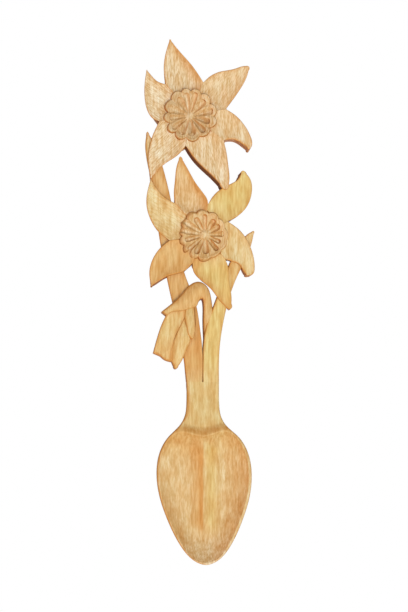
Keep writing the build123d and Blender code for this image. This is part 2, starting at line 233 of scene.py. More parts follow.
@dataclass
class Skin:
    """Closed carved skin: rings of points, each closed on itself, with layers of wax, tone, and painted
    light and shade on them.

    Attributes:
        points: (rings, around, 3) places, as X, level in front of the back, Z, in millimetres.
        layers: (rings, around) shares by name: wax and painted shade, the sawn sides' colour and painted
            shade, honey and gold, which also carry painted light and shade.
        endless: whether the last ring joins the first, in place of two closing fans.
        stroke_angle: direction in which the knife was drawn, in degrees from level.
    """

    points: Array
    layers: dict[str, Array]
    endless: bool = False
    stroke_angle: float = 90.0

    def cut(self, first: int, last: int) -> "Skin":
        """Keep a stretch of the rings.

        Args:
            first: number of the first ring kept.
            last: number of the last ring kept.

        Returns:
            The shorter skin.
        """
        kept = slice(first, last + 1)
        layers = {name: layer[kept] for name, layer in self.layers.items()}
        return Skin(self.points[kept], layers, stroke_angle=self.stroke_angle)

    def corners(self, grid: Array) -> tuple[Array, Array, Array, Array]:
        """Pick a grid's values at the corners of the faces between neighbouring rings.

        Args:
            grid: (rings, around, ...) values.

        Returns:
            The values at the four corners.
        """
        rings = np.concatenate([grid, grid[:1]]) if self.endless else grid
        beside = np.roll(rings, -1, axis=1)
        return rings[:-1], beside[:-1], beside[1:], rings[1:]

    def flat(self, grid: Array) -> Array:
        """Values of a grid point by point, and then at the middles of the closing fans."""
        values = grid.reshape(-1, *grid.shape[2:])
        return values if self.endless else np.concatenate([values, grid[[0, -1]].mean(axis=1)])

    def faces(self) -> list[list[int]]:
        """Join neighbouring rings with four-sided faces, and close open ends with fans about their middles.

        Returns:
            The points' numbers for each face, all facing outwards.
        """
        rings, around = self.points.shape[:2]
        index = np.arange(rings * around).reshape(rings, around)
        made = np.stack(self.corners(index), axis=-1).reshape(-1, 4).tolist()
        if not self.endless:
            hubs = np.full(around, rings * around)
            made += np.stack([np.roll(index[0], -1), index[0], hubs], axis=-1).tolist()
            made += np.stack([index[-1], np.roll(index[-1], -1), hubs + 1], axis=-1).tolist()
        return [face[::-1] for face in made] if self.turned_in() else made

    def turned_in(self) -> bool:
        """Whether the rings run so that the faces point inwards.

        Returns:
            Whether the pyramids from the middle to all faces add up to a volume above 0. Levels run
            against Y, so that means inwards.
        """
        low, beside, across, up = self.corners(self.points - self.points.mean(axis=(0, 1)))
        return bool(np.sum(low * (np.cross(beside, across) + np.cross(across, up))) > 0.0)

    def piece(self, node: str, material: Material) -> None:
        """Make the skin an object that rides on the spoon's body and stands for a node.

        Args:
            node: name of the node.
            material: finish of the piece.
        """
        name = f"carved_{node}"
        faces = self.faces()
        places = self.flat(self.points) * np.array([1.0, -1.0, 1.0]) * MM
        mesh = bpy.data.meshes.new(name)
        mesh.from_pydata(places.tolist(), [], faces)
        for key, layer in self.layers.items():
            values = self.flat(layer).astype(np.float32)
            mesh.attributes.new(key, "FLOAT", "POINT").data.foreach_set("value", values)
        beside, along = turned(places[:, 0], places[:, 2], self.stroke_angle)
        strokes = np.stack([beside, places[:, 1], along], axis=1).astype(np.float32)
        mesh.attributes.new("strokes", "FLOAT_VECTOR", "POINT").data.foreach_set("vector", strokes.ravel())
        mesh.polygons.foreach_set("use_smooth", np.ones(len(mesh.polygons), bool))
        mesh.set_sharp_from_angle(angle=SHARP_ANGLE)
        mesh.materials.append(material)
        made = bpy.data.objects.new(name, mesh)
        bpy.context.scene.collection.objects.link(made)
        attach(made, BODY)
        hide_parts(node)
        LOG.info("%s: %d faces for %s", name, len(faces), node)


@dataclass(frozen=True)
class Relief:
    """How the front of a petal or leaf is shaped between its two edges, in millimetres.

    Attributes:
        cup: depth of the trough as a share of the width.
        cup_limit: most that the trough is deep.
        trough: where the trough lies, as a share across from the first edge.
        tilt: how far the second edge stands above the middle, and the first below it.
        lift: rise towards the tip.
        sink: drop towards the foot.
        edge: radius of the rounded edges.
        uneven: size of the knife's unevenness.
        stroke_angle: direction of the gouge's strokes, in degrees from level.
        stroke_spacing: distance between strokes.
        stroke_depth: depth of a stroke.
        wander: how far a stroke wanders to its sides.
        wander_rates: how fast it does, along the stroke and from stroke to stroke.
    """

    cup: float = 0.075
    cup_limit: float = 1.3
    trough: float = 0.5
    tilt: float = 0.0
    lift: float = 0.0
    sink: float = 0.0
    edge: float = 0.7
    uneven: float = 0.035
    stroke_angle: float = 86.0
    stroke_spacing: float = 2.3
    stroke_depth: float = 0.03
    wander: float = 0.35
    wander_rates: Point = (0.21, 0.4)

    def strokes(self, x: Array, z: Array) -> Array:
        """Shallow facets of a gouge drawn side by side: arches between ridges, as the size of a cosine.

        Args:
            x: places across the face.
            z: places up the face.

        Returns:
            Levels, 0 on a ridge and less beside it.
        """
        beside, along = turned(x, z, self.stroke_angle)
        beside = beside + self.wander * np.sin(self.wander_rates[0] * along + self.wander_rates[1] * beside)
        return -self.stroke_depth * np.abs(np.cos(math.pi * beside / self.stroke_spacing))


@dataclass
class Blade:
    """Carved element between two edges from its foot to its tip, such as a petal, a leaf or the bowl.

    Pairs are for the first and second edge. A value by rows is a (rows, 1) array, or one number for all.

    Attributes:
        first: (rows, 2) points of one edge.
        second: (rows, 2) points of the other edge, row by row beside the first.
        front: level of the front at the edges.
        back: level of the back.
        relief: shape of the front.
        tones: tones at shares of the way from the foot to the tip.
        end: curve across the far end, where it isn't straight.
        soft: radius shares of the edges' rounding by rows, 0 where an edge butts against a neighbour.
        soft_end: whether the far end is rounded over too.
        draft: how far the back stands out past the front, by rows.
        shaped: how much of the relief each row has.
        lowered: how far each row's front lies below its level.
        sawn: how dark the walls are: the sawn sides' colour and painted shade.
        edge_wax_and_shade: how much wax lies on the edges; less of it on an edge that faces the light is
            painted light.
        edge_shade: how much honey shows along the edges, as painted shade.
        edge_shade_width: how far that honey reaches.
        front_shade: how much painted shade lies evenly over the front.
    """

    first: Array
    second: Array
    front: float
    back: float
    relief: Relief
    tones: Tones
    end: Array | None = None
    soft: tuple[Number, Number] = (1.0, 1.0)
    soft_end: bool = False
    draft: tuple[Number, Number] = (0.0, 0.0)
    shaped: Number = 1.0
    lowered: Number = 0.0
    sawn: Point = (0.05, 0.05)
    edge_wax_and_shade: Point = (1.0, 1.0)
    edge_shade: Point = (0.0, 0.0)
    edge_shade_width: float = 1.5
    front_shade: float = 0.0
    columns: int = 46
    end_start: float = 0.35
    draft_width: float = 4.0
    wall_shares: Place = (0.08, 0.5, 0.92)
    wall_wax: float = 0.5
    # Share of the walls' darkness at the front edge: painted shade that deepens towards the back.
    wall_shade_at_front: float = 0.68
    back_edge: float = 0.35
    wax_width: float = 0.8
    least_wax: float = 0.3

    def across(self) -> Array:
        """Shares across the front, closer together at the two edges."""
        return (1.0 - np.cos(np.linspace(0.0, math.pi, self.columns))) / 2.0

    def run(self) -> Array:
        """Length of the middle line from the foot to each row."""
        return lengths((self.first + self.second) / 2.0)[:, None]

    def along(self) -> Array:
        """Share of the way from foot to tip at each row."""
        return self.run() / self.run()[-1]

    def width(self) -> Array:
        """Width at each row."""
        return np.linalg.norm(self.second - self.first, axis=1)[:, None]

    def insets(self) -> tuple[Array, Array]:
        """Distance of every place from the first edge and from the second."""
        share = self.across()
        return share * self.width(), (1.0 - share) * self.width()

    def end_inset(self) -> Array:
        """Distance of each row from the far end, or the whole length where that end isn't rounded."""
        run = self.run()
        return run[-1] - run if self.soft_end else np.full_like(run, run[-1, 0])

    def back_edges(self) -> tuple[Array, Array]:
        """Draw the edges of the back.

        Returns:
            The two edges, which stand out past the front's by their drafts, less where the blade is narrow.
        """
        width = self.width()
        out = (self.second - self.first) / np.maximum(width, LEAST)
        out = out * np.minimum(1.0, width / self.draft_width)
        return self.first - out * self.draft[0], self.second + out * self.draft[1]

    def plan(self, first: Array, second: Array) -> Array:
        """Places on the face: straight across from edge to edge, drawn to the end curve near the far end.

        Args:
            first: (rows, 2) points of the first edge.
            second: (rows, 2) points of the second edge.

        Returns:
            (rows, columns, 2) places.
        """
        share = self.across()[:, None]
        grid = first[:, None] * (1.0 - share) + second[:, None] * share
        if self.end is not None:
            closing = smooth_step(self.along(), self.end_start, 1.0)[:, :, None]
            grid = grid + closing * (at_shares(self.end, self.across()) - grid[-1:])
        return grid

    def edge_drop(self, radius: float) -> Array:
        """Drop of the rounded edges.

        Args:
            radius: radius of the rounding.

        Returns:
            (rows, columns) drops, the most of the three edges that meet at a place.
        """
        half = self.width() / 2.0
        drop = rounded_drop(self.end_inset(), np.full_like(half, radius))
        for inset, soft in zip(self.insets(), self.soft):
            drop = np.maximum(drop, rounded_drop(inset, np.minimum(radius * soft, half)))
        return drop

    def trough(self) -> Array:
        """Depth of the trough: a parabola on either side of its lowest line.

        Returns:
            (rows, columns) depths, as deep as the width allows.
        """
        share, low = self.across(), self.relief.trough
        side = np.where(share < low, (low - share) / low, (share - low) / (1.0 - low))
        return np.minimum(self.relief.cup * self.width(), self.relief.cup_limit) * (1.0 - side**2)

    def front_levels(self, grid: Array) -> Array:
        """Levels of the front: the edge level, tilted and lifted, less the trough and the rounded edges.

        Args:
            grid: (rows, columns, 2) places.

        Returns:
            (rows, columns) levels.
        """
        relief, run = self.relief, self.along()
        x, z = grid[..., 0], grid[..., 1]
        form = relief.tilt * (2.0 * self.across() - 1.0) - self.trough() + relief.strokes(x, z)
        level = self.front - self.lowered + self.shaped * form
        level = level + relief.lift * run**2 - relief.sink * (1.0 - run) ** 2
        return level + hand_cut(x, z, relief.uneven) - self.edge_drop(relief.edge)

    def back_levels(self, grid: Array) -> Array:
        """Levels of the back, the same wherever its places are: flat, with its edges eased."""
        return self.back + self.edge_drop(self.back_edge)

    def front_shading(self, grid: Array) -> Array:
        """How much painted shade lies on each place of the front."""
        return np.full(grid.shape[:2], self.front_shade)

    def front_wax(self) -> Array:
        """Wax on the front, which the material lays thinner on slopes that face right as painted light:
        burnished edges as wide as their rounding, fading inwards as bell curves.

        Returns:
            (rows, columns) shares of wax.
        """
        wax = bell(self.end_inset(), self.wax_width)
        for inset, soft, share in zip(self.insets(), self.soft, self.edge_wax_and_shade):
            width = self.wax_width * np.maximum(soft, self.least_wax)
            wax = np.maximum(wax, share * np.minimum(soft, 1.0) * bell(inset, width))
        return wax

    def toned(self, grid: Array) -> tuple[Array, Array]:
        """Blend the tones between their stops.

        Args:
            grid: (rows, around, 2) places.

        Returns:
            (rows, around) shares of honey and of gold.
        """
        stops = [share for share, _ in self.tones]
        honey, gold = zip(*(tone.value for _, tone in self.tones))
        run = np.repeat(self.along(), grid.shape[1], axis=1)
        return np.interp(run, stops, honey), np.interp(run, stops, gold)

    def skin(self) -> Skin:
        """Join the front, the second edge's wall, the back and the first edge's wall into rings.

        Returns:
            The skin, waxed at its edges and dark on its walls with the sawn sides' colour and painted shade,
            more so towards the back.
        """
        face, rear = self.plan(self.first, self.second), self.plan(*self.back_edges())
        front = np.dstack([face[..., 0], self.front_levels(face), face[..., 1]])
        back = np.dstack([rear[..., 0], self.back_levels(rear), rear[..., 1]])
        down = np.array(self.wall_shares)[:, None]
        second_wall = front[:, -1:] * (1.0 - down) + back[:, -1:] * down
        first_wall = back[:, :1] * (1.0 - down) + front[:, :1] * down
        points = np.concatenate([front, second_wall, back[:, ::-1], first_wall], axis=1)
        wall = np.ones(first_wall.shape[:2])
        wax = self.front_wax()
        first_wax, second_wax = (wall * self.wall_wax * share for share in self.edge_wax_and_shade)
        waxes = [wax, second_wax, wax[:, ::-1] * self.wall_wax, first_wax]
        # Painted shade on the walls, deeper towards the back, on top of the sawn sides' colour; the front
        # takes its even painted shade.
        deepening_shade = wall * (self.wall_shade_at_front + (1.0 - self.wall_shade_at_front) * down[:, 0])
        sawn = [self.front_shading(face), deepening_shade * self.sawn[1], 0.0 * wax, deepening_shade[:, ::-1] * self.sawn[0]]
        honey, gold = self.toned(points[..., [0, 2]])
        # Painted shade in honey along the edges
        for share, inset in zip(self.edge_shade, self.insets()):
            honey[:, : self.columns] += share * bell(inset, self.edge_shade_width)
        layers = {"honey": np.clip(honey, 0.0, 1.0), "gold": gold}
        layers |= {"wax": np.concatenate(waxes, axis=1), "sawn": np.concatenate(sawn, axis=1)}
        return Skin(points, layers, stroke_angle=self.relief.stroke_angle)


# Flowers


@dataclass
class Petal:
    """One petal of a flower, in millimetres about the flower's centre. Pairs are for its two edges.

    Attributes:
        node: the node that it stands for.
        rising: points of its edge from its first crotch to the tip.
        tip: its tip.
        falling: points of its edge from the tip to its second crotch.
        relief: shape of its front.
        tones: tones at shares of the way from the hub to the tip.
        tip_radius: half the width at which its tip is rounded off.
        raised: how far its front stands above its solid's.
        seams: radius shares of the rounding along its neighbours, 0 where they run into each other.
        rising_draft: how far the back stands out past the rising edge, by the crotch and by the tip.
        falling_draft: the same for the falling edge.
        sawn: how dark the walls are: the sawn sides' colour and painted shade.
        edge_shade: how much honey shows along the edges, as painted shade.
    """

    node: str
    rising: Points
    tip: Point
    falling: Points
    relief: Relief = Relief()
    tones: Tones = ((0.0, Tone.PALE),)
    tip_radius: float = 0.55
    raised: float = 0.0
    seams: Point = (0.0, 0.0)
    rising_draft: Point = (-0.5, -0.5)
    falling_draft: Point = (-0.5, -0.5)
    sawn: Point = (0.05, 0.05)
    edge_shade: Point = (0.0, 0.0)


@dataclass
class Trumpet:
    """Fluted trumpet with a frilled rim, in the middle of a flower.

    Directions are in degrees from the right, anticlockwise.

    Attributes:
        prefix: first word of its two nodes' names.
        spread: how far its lobes reach past its solid's radius.
        rays: directions of its lobes and of the flute in each.
        hub: where the flutes meet, about the frill's middle.
        flute_end: distance of the flutes' round ends from the frill's middle.
        flute_half: half of a flute's width at its round end.
        plain_share: how much of their depth the flutes keep on the plain side.
        scallop: how far the frill's outline draws in between lobes.
        cleft: depth of the folds between lobes.
        calm: direction in which the frill lies smooth.
        calm_share: how much of its folds it keeps there.
        bead: height of the rolled lip on the frill's edge.
        rim_drop: how far the rim lies below its solid's.
        lean: how much lower the rim lies on the calm side.
        broad: how much wider the rounded flank is on the left.
        tone: tone of the trumpet.
        painted_shade: how much painted shade the ridges between the flutes have on the plain side.
        shady: direction of its dark side.
        shade: how much painted shade lies there.
        flank_shady: direction of its flank's dark side.
        flank_shade: how much painted shade lies on the flank there.
        calm_behind: how much of its folds the frill keeps opposite its calm side.
        oval: how much taller than wide the frill is.
        waver: sizes of the two slow waves in the frill's outline.
        fold_span: shares of the radius between which the folds deepen.
        plain: direction of the plain side.
        plain_lip: how much of the lip there is there.
        flute_fade: distances past flute_start between which a flute deepens.
        flute_close: distance over which its round end closes.
        flute_least: share of its depth at its inner end.
        flute_power: how blunt its section is.
        flute_taper: how much narrower it is at its inner end.
        ragged: how far the flutes' ends differ.
        pale_flutes: how much of the tone the flutes lose on the plain side, as painted light.
        unshaded_flutes: how much of the painted shade they lose there.
        shaded_ridges: share of the dark side's painted shade that the ridges have.
        boss: height of the boss in the middle.
        boss_ring: height and width of its ring, as shares of its height and radius.
        boss_dome: width of its dome, as a share of its radius.
        rings: numbers of rings on the cup, the frill and its flank.
    """

    prefix: str
    spread: float
    rays: tuple[float, ...]
    hub: Point
    flute_end: float
    flute_half: float
    plain_share: float
    scallop: float
    cleft: float
    calm: float
    calm_share: float
    bead: float
    rim_drop: float
    lean: float
    broad: float
    tone: Tone
    painted_shade: float
    shady: float
    shade: float
    flank_shady: float
    flank_shade: float = 0.36
    # Painted shade in the wax's orange on the flank, away from the calm side
    flank_orange_shade: float = 0.12
    calm_behind: float = 1.0
    oval: float = 0.0
    waver: Point = (0.2, 0.15)
    fold_power: float = 0.75
    fold_uneven: float = 0.15
    fold_span: Point = (0.5, 0.95)
    plain: float = 150.0
    plain_lip: float = 0.2
    flute_depth: float = 1.4
    flute_start: float = 1.7
    flute_fade: Point = (-0.8, 1.6)
    flute_close: float = 0.35
    flute_least: float = 0.45
    flute_power: float = 1.6
    flute_taper: float = 0.65
    ragged: float = 0.65
    pale_flutes: float = 0.9
    unshaded_flutes: float = 0.6
    shaded_ridges: float = 0.35
    floor_drop: float = 2.1
    dish_power: float = 1.8
    uneven: float = 0.05
    lip_inset: float = 1.15
    lip_width: float = 0.5
    boss: float = 0.0
    boss_radius: float = 1.5
    boss_ring: Point = (0.7, 0.35)
    boss_dome: float = 0.6
    roll: float = 0.8
    least_rim: float = 0.2
    flank_drop: float = 2.6
    foot_depth: float = 6.2
    foot_inset: float = 0.25
    first_ring: float = 0.12
    around: int = 420
    rings: tuple[int, int, int] = (44, 22, 6)

    def nodes(self) -> tuple[str, str]:
        """Names of the cup's node and of the frill's."""
        return f"{self.prefix}_trumpet_cup", f"{self.prefix}_trumpet_frill"

    def centre(self) -> Array:
        """Middle of the frill on the face."""
        return sum(face_box(self.nodes()[1])) / 2.0

    def radius(self) -> float:
        """Radius of the frill over its lobes."""
        return self.spread + half_width(self.nodes()[1])

    @staticmethod
    def facing(angle: Array, towards: float) -> Array:
        """Weight that is 1 in one direction and 0 in the opposite one: a power of a raised cosine."""
        return ((1.0 + np.cos(angle - math.radians(towards))) / 2.0) ** FACING_POWER

    def fade(self, angle: Array, towards: float, share: float) -> Array:
        """Weight that falls from 1 to a share in one direction."""
        return 1.0 - (1.0 - share) * self.facing(angle, towards)

    def nearest_ray(self, angle: Array) -> tuple[Array, Array]:
        """Find the nearest ray at every angle.

        Args:
            angle: angles, in radians.

        Returns:
            The angle past the nearest ray, and the place between its folds, -0.5 to 0.5 with 0 on the ray.
        """
        rays = np.sort(np.radians(self.rays) % TURN)
        rays = np.concatenate([rays[-2:] - TURN, rays, rays[:2] + TURN])
        count = np.interp(angle % TURN, rays, np.arange(len(rays)))
        near = np.rint(count).astype(int)
        return angle % TURN - rays[near], count - near

    def folds(self, angle: Array) -> Array:
        """Folds of the frill: 0 on a ray and up to 1 between two lobes, as 1 less a power of a cosine.

        Args:
            angle: angles, in radians.

        Returns:
            The folds, shallower on the calm side and opposite it, and uneven all round.
        """
        lobe = np.clip(np.cos(math.pi * self.nearest_ray(angle)[1]), 0.0, None) ** self.fold_power
        kept = self.fade(angle, self.calm, self.calm_share)
        kept = kept * self.fade(angle, self.calm + 180.0, self.calm_behind)
        return kept * (1.0 - self.fold_uneven + self.fold_uneven * np.sin(2.0 * angle + 0.6)) * (1.0 - lobe)

    def outline(self, angle: Array) -> Array:
        """Radius of the frill's edge.

        Args:
            angle: angles, in radians.

        Returns:
            Radii, drawn in between lobes and a little oval.
        """
        slow, quick = self.waver
        uneven = slow * np.cos(3.0 * angle) + quick * np.cos(5.0 * angle + 1.0)
        return self.radius() - self.oval * np.cos(2.0 * angle) + uneven - self.scallop * self.folds(angle)

    def flute(self, radius: Array, angle: Array) -> Array:
        """Gouged flutes: uneven drops with round outer ends, each a blunt V in section.

        A place is measured along the nearest ray from the hub and beside it. The half width grows outwards,
        and follows a circle over the round end. The depth is 1 less a power of the share of the half width.

        Args:
            radius: distances from the frill's middle.
            angle: angles about it, in radians.

        Returns:
            Depths from 0 to 1.
        """
        x, z = radius * np.cos(angle) - self.hub[0], radius * np.sin(angle) - self.hub[1]
        heading, away = np.arctan2(z, x), np.hypot(x, z)
        aside = self.nearest_ray(heading)[0]
        ray = heading - aside
        out, beside = away * np.cos(aside), away * np.sin(aside)
        end = self.flute_end - self.hub[0] * np.cos(ray) - self.hub[1] * np.sin(ray)
        end = end + self.ragged * np.sin(5.0 * ray + 0.6)
        widest = self.flute_half * (1.0 + self.ragged / 4.0 * np.sin(3.0 * ray))
        ring = end - widest
        span = np.clip((out - self.flute_start) / (ring - self.flute_start), 0.0, 1.0)
        past = np.clip(out - ring, 0.0, widest)
        rounded = np.sqrt(np.clip(widest**2 - past**2, LEAST**3, None))
        half = np.where(past > 0.0, rounded, widest * (1.0 + self.flute_taper * (span - 1.0)))
        section = np.clip(1.0 - np.abs(beside / half) ** self.flute_power, 0.0, None)
        inside = smooth_step(out - self.flute_start, *self.flute_fade)
        inside = inside * (1.0 - smooth_step(out, end - self.flute_close, end))
        return section * inside * (self.flute_least + (1.0 - self.flute_least) * span)

    def levels(self, radius: Array, angle: Array) -> Array:
        """Levels of the front: a leaning dish, less the flutes and folds, with a boss and a lip at the edge.

        Args:
            radius: distances from the frill's middle.
            angle: angles about it, in radians.

        Returns:
            The levels.
        """
        outline = self.outline(angle)
        share = np.clip(radius / outline, 0.0, 1.0)
        level = level_of(self.nodes()[1]) - self.rim_drop
        level = level - self.lean * share * np.cos(angle - math.radians(self.calm))
        level = level - self.floor_drop * (1.0 - share**self.dish_power)
        gouged = self.fade(angle, self.plain, self.plain_share)
        level = level - self.flute_depth * gouged * self.flute(radius, angle)
        level = level - self.cleft * self.folds(angle) * smooth_step(share, *self.fold_span)
        lip = bell(radius - outline, self.lip_width, -self.lip_inset)
        level = level + self.bead * self.fade(angle, self.plain, self.plain_lip) * lip
        level = level + hand_cut(radius * np.cos(angle), radius * np.sin(angle), self.uneven)
        height, width = self.boss_ring
        ring = height * bell(radius, width * self.boss_radius, self.boss_radius)
        return level + self.boss * (ring + bell(radius, self.boss_dome * self.boss_radius))

    def skin(self, radius: Array, level: Array, angle: Array, flank: Array, endless: bool) -> Skin:
        """Turn radii and levels about the centre into a skin.

        Args:
            radius: (rings, around) radii.
            level: (rings, around) levels.
            angle: (1, around) angles.
            flank: (rings, 1) how far down the flank each ring lies.
            endless: whether the last ring joins the first.

        Returns:
            The skin, with painted shade on its flank, on its dark side and between its flutes, and painted
            light on its flutes on the plain side.
        """
        x, z = self.centre()
        turn = np.broadcast_to(angle, radius.shape)
        points = np.dstack([x + radius * np.cos(turn), level, z + radius * np.sin(turn)])
        flute, plain = self.flute(radius, turn), self.facing(turn, self.plain)
        # Painted light and shade: the flutes are paler on the plain side, and the ridges, the dark side and
        # the flank take painted shade.
        honey, gold = (part * (1.0 - self.pale_flutes * plain * flute) for part in self.tone.value)
        wax = self.flank_orange_shade * flank * self.fade(turn, self.calm, 0.0)
        shaded = self.shaded_ridges + (1.0 - self.shaded_ridges) * flute
        painted_shade = self.painted_shade * plain * (1.0 - self.unshaded_flutes * flute)
        painted_shade = painted_shade + self.shade * self.facing(turn, self.shady) ** 2 * shaded
        painted_shade = np.maximum(painted_shade, self.flank_shade * flank * self.facing(turn, self.flank_shady))
        return Skin(points, {"wax": wax, "sawn": painted_shade, "honey": honey, "gold": gold}, endless)

    def build(self, material: Material) -> None:
        """Make the cup and the frill: one dished surface on rings about the centre, parted at their joint.

        The frill's flank is a quarter ellipse from the rim down.

        Args:
            material: finish of the two pieces.
        """
        angle = np.linspace(0.0, TURN, self.around, endpoint=False)[None, :]
        outline, joint = self.outline(angle), half_width(self.nodes()[0])
        cup_rings, frill_rings, flank_rings = self.rings
        inner = np.repeat(np.linspace(self.first_ring, joint, cup_rings)[:, None], self.around, axis=1)
        share = np.linspace(0.0, 1.0, frill_rings)[:, None]
        rim = outline - self.roll - self.broad * self.facing(angle, 180.0)
        outer = joint * (1.0 - share) + np.maximum(rim, joint + self.least_rim) * share
        turn = np.linspace(0.0, TURN / 4.0, flank_rings + 1)[1:, None]
        rolled = outer[-1:] + (outline - outer[-1:]) * np.sin(turn)
        cup_level, frill_level = self.levels(inner, angle), self.levels(outer, angle)
        flank_level = frill_level[-1:] - self.flank_drop * (1.0 - np.cos(turn))
        foot = np.full_like(inner[:1], level_of(self.nodes()[1]) - self.foot_depth)
        cup_radius = np.concatenate([inner, inner[-1:]])
        no_flank = np.zeros((len(cup_radius), 1))
        cup = self.skin(cup_radius, np.concatenate([cup_level, foot]), angle, no_flank, False)
        radius = np.concatenate([inner[-1:], outer, rolled, outline - self.foot_inset])
        level = np.concatenate([foot, frill_level, flank_level, foot])
        flank = np.concatenate([np.zeros((len(outer) + 1, 1)), np.sin(turn), np.ones((1, 1))])
        frill = self.skin(radius, level, angle, flank, True)
        for skin, node in zip((cup, frill), self.nodes()):
            skin.piece(node, material)


@dataclass
class Flower:
    """Daffodil of six petals in two layers, with its trumpet.

    Attributes:
        trumpet: the trumpet, which gives the flower its centre.
        crotches: where neighbouring petals meet, about the centre.
        petals: petals in the order of the crotches that each starts at.
        back: level of the petals' backs, a little in front of the leaves'.
        hub_share: where the petals start, as a share of the way to their crotches.
        hub_drop: how far the petals dip under the trumpet.
        hub_rise: distances inside the trumpet's edge between which they rise again.
        edge_shade_width: how far the honey along the petals' edges, painted shade, reaches.
        draft_rows: number of rows past a crotch over which an edge comes free.
    """

    trumpet: Trumpet
    crotches: Points
    petals: list[Petal]
    back: float
    hub_share: float = 0.03
    hub_drop: float = 2.4
    hub_rows: int = 16
    hub_rise: Point = (4.0, 1.8)
    edge_shade_width: float = 4.0
    blade_rows: int = 62
    crowding: float = 1.35
    draft_rows: float = 5.0

    def blade(self, index: int) -> Blade:
        """Petal as a blade: rows run straight out to its two crotches, then along its free edges to the tip.

        Args:
            index: number of the petal.

        Returns:
            The petal's blade.
        """
        petal, centre = self.petals[index], self.trumpet.centre()
        corners = [centre + self.crotches[turn % len(self.crotches)] for turn in (index, index + 1)]
        sides = zip(corners, (petal.rising, petal.falling[::-1]))
        tip = centre + petal.tip
        edges = [spline_through([corner, *(centre + points), tip]) for corner, points in sides]
        rows = pointed_rows(*edges, towards_tip(self.blade_rows, self.crowding), petal.tip_radius)
        spoke = np.linspace(self.hub_share, 1.0, self.hub_rows)[:-1, None]
        spokes = [centre + (corner - centre) * spoke for corner in corners]
        first, second = (np.concatenate(parts) for parts in zip(spokes, rows))
        row = np.arange(len(first))[:, None] - self.hub_rows
        free = np.clip(row / self.draft_rows, 0.0, 1.0)
        run = np.clip(row / row[-1], 0.0, 1.0)
        drafts = (petal.rising_draft, petal.falling_draft)
        away = sum(np.linalg.norm(edge - centre, axis=1)[:, None] for edge in (first, second)) / 2.0
        rise = (self.trumpet.radius() - inside for inside in self.hub_rise)
        return Blade(
            first, second,
            front=level_of(petal.node) + petal.raised, back=self.back, relief=petal.relief,
            tones=petal.tones, soft=tuple(seam + (1.0 - seam) * np.sqrt(free) for seam in petal.seams),
            draft=tuple(free * (near + (far - near) * run) for near, far in drafts),
            lowered=self.hub_drop * (1.0 - smooth_step(away, *rise)), sawn=petal.sawn,
            edge_shade=petal.edge_shade, edge_shade_width=self.edge_shade_width,
        )

    def build(self, material: Material) -> None:
        """Make the six petals and the trumpet.

        Args:
            material: finish of the eight pieces.
        """
        for index, petal in enumerate(self.petals):
            self.blade(index).skin().piece(petal.node, material)
        self.trumpet.build(material)


# Leaves, neck and bowl


@dataclass
class Leaf:
    """One of the two leaves, from the neck up.

    Attributes:
        node: the node that it stands for.
        side: -1 for the left leaf and 1 for the right one.
        outer: points of its outer edge.
        inner: points of its inner edge.
        tip: its tip.
        relief: shape of its front.
        tones: tones at shares of the way to its tip.
        front_shade: how much painted shade lies evenly over it.
    """

    node: str
    side: int
    outer: Points
    inner: Points
    tip: Point
    relief: Relief
    tones: Tones
    front_shade: float = 0.0


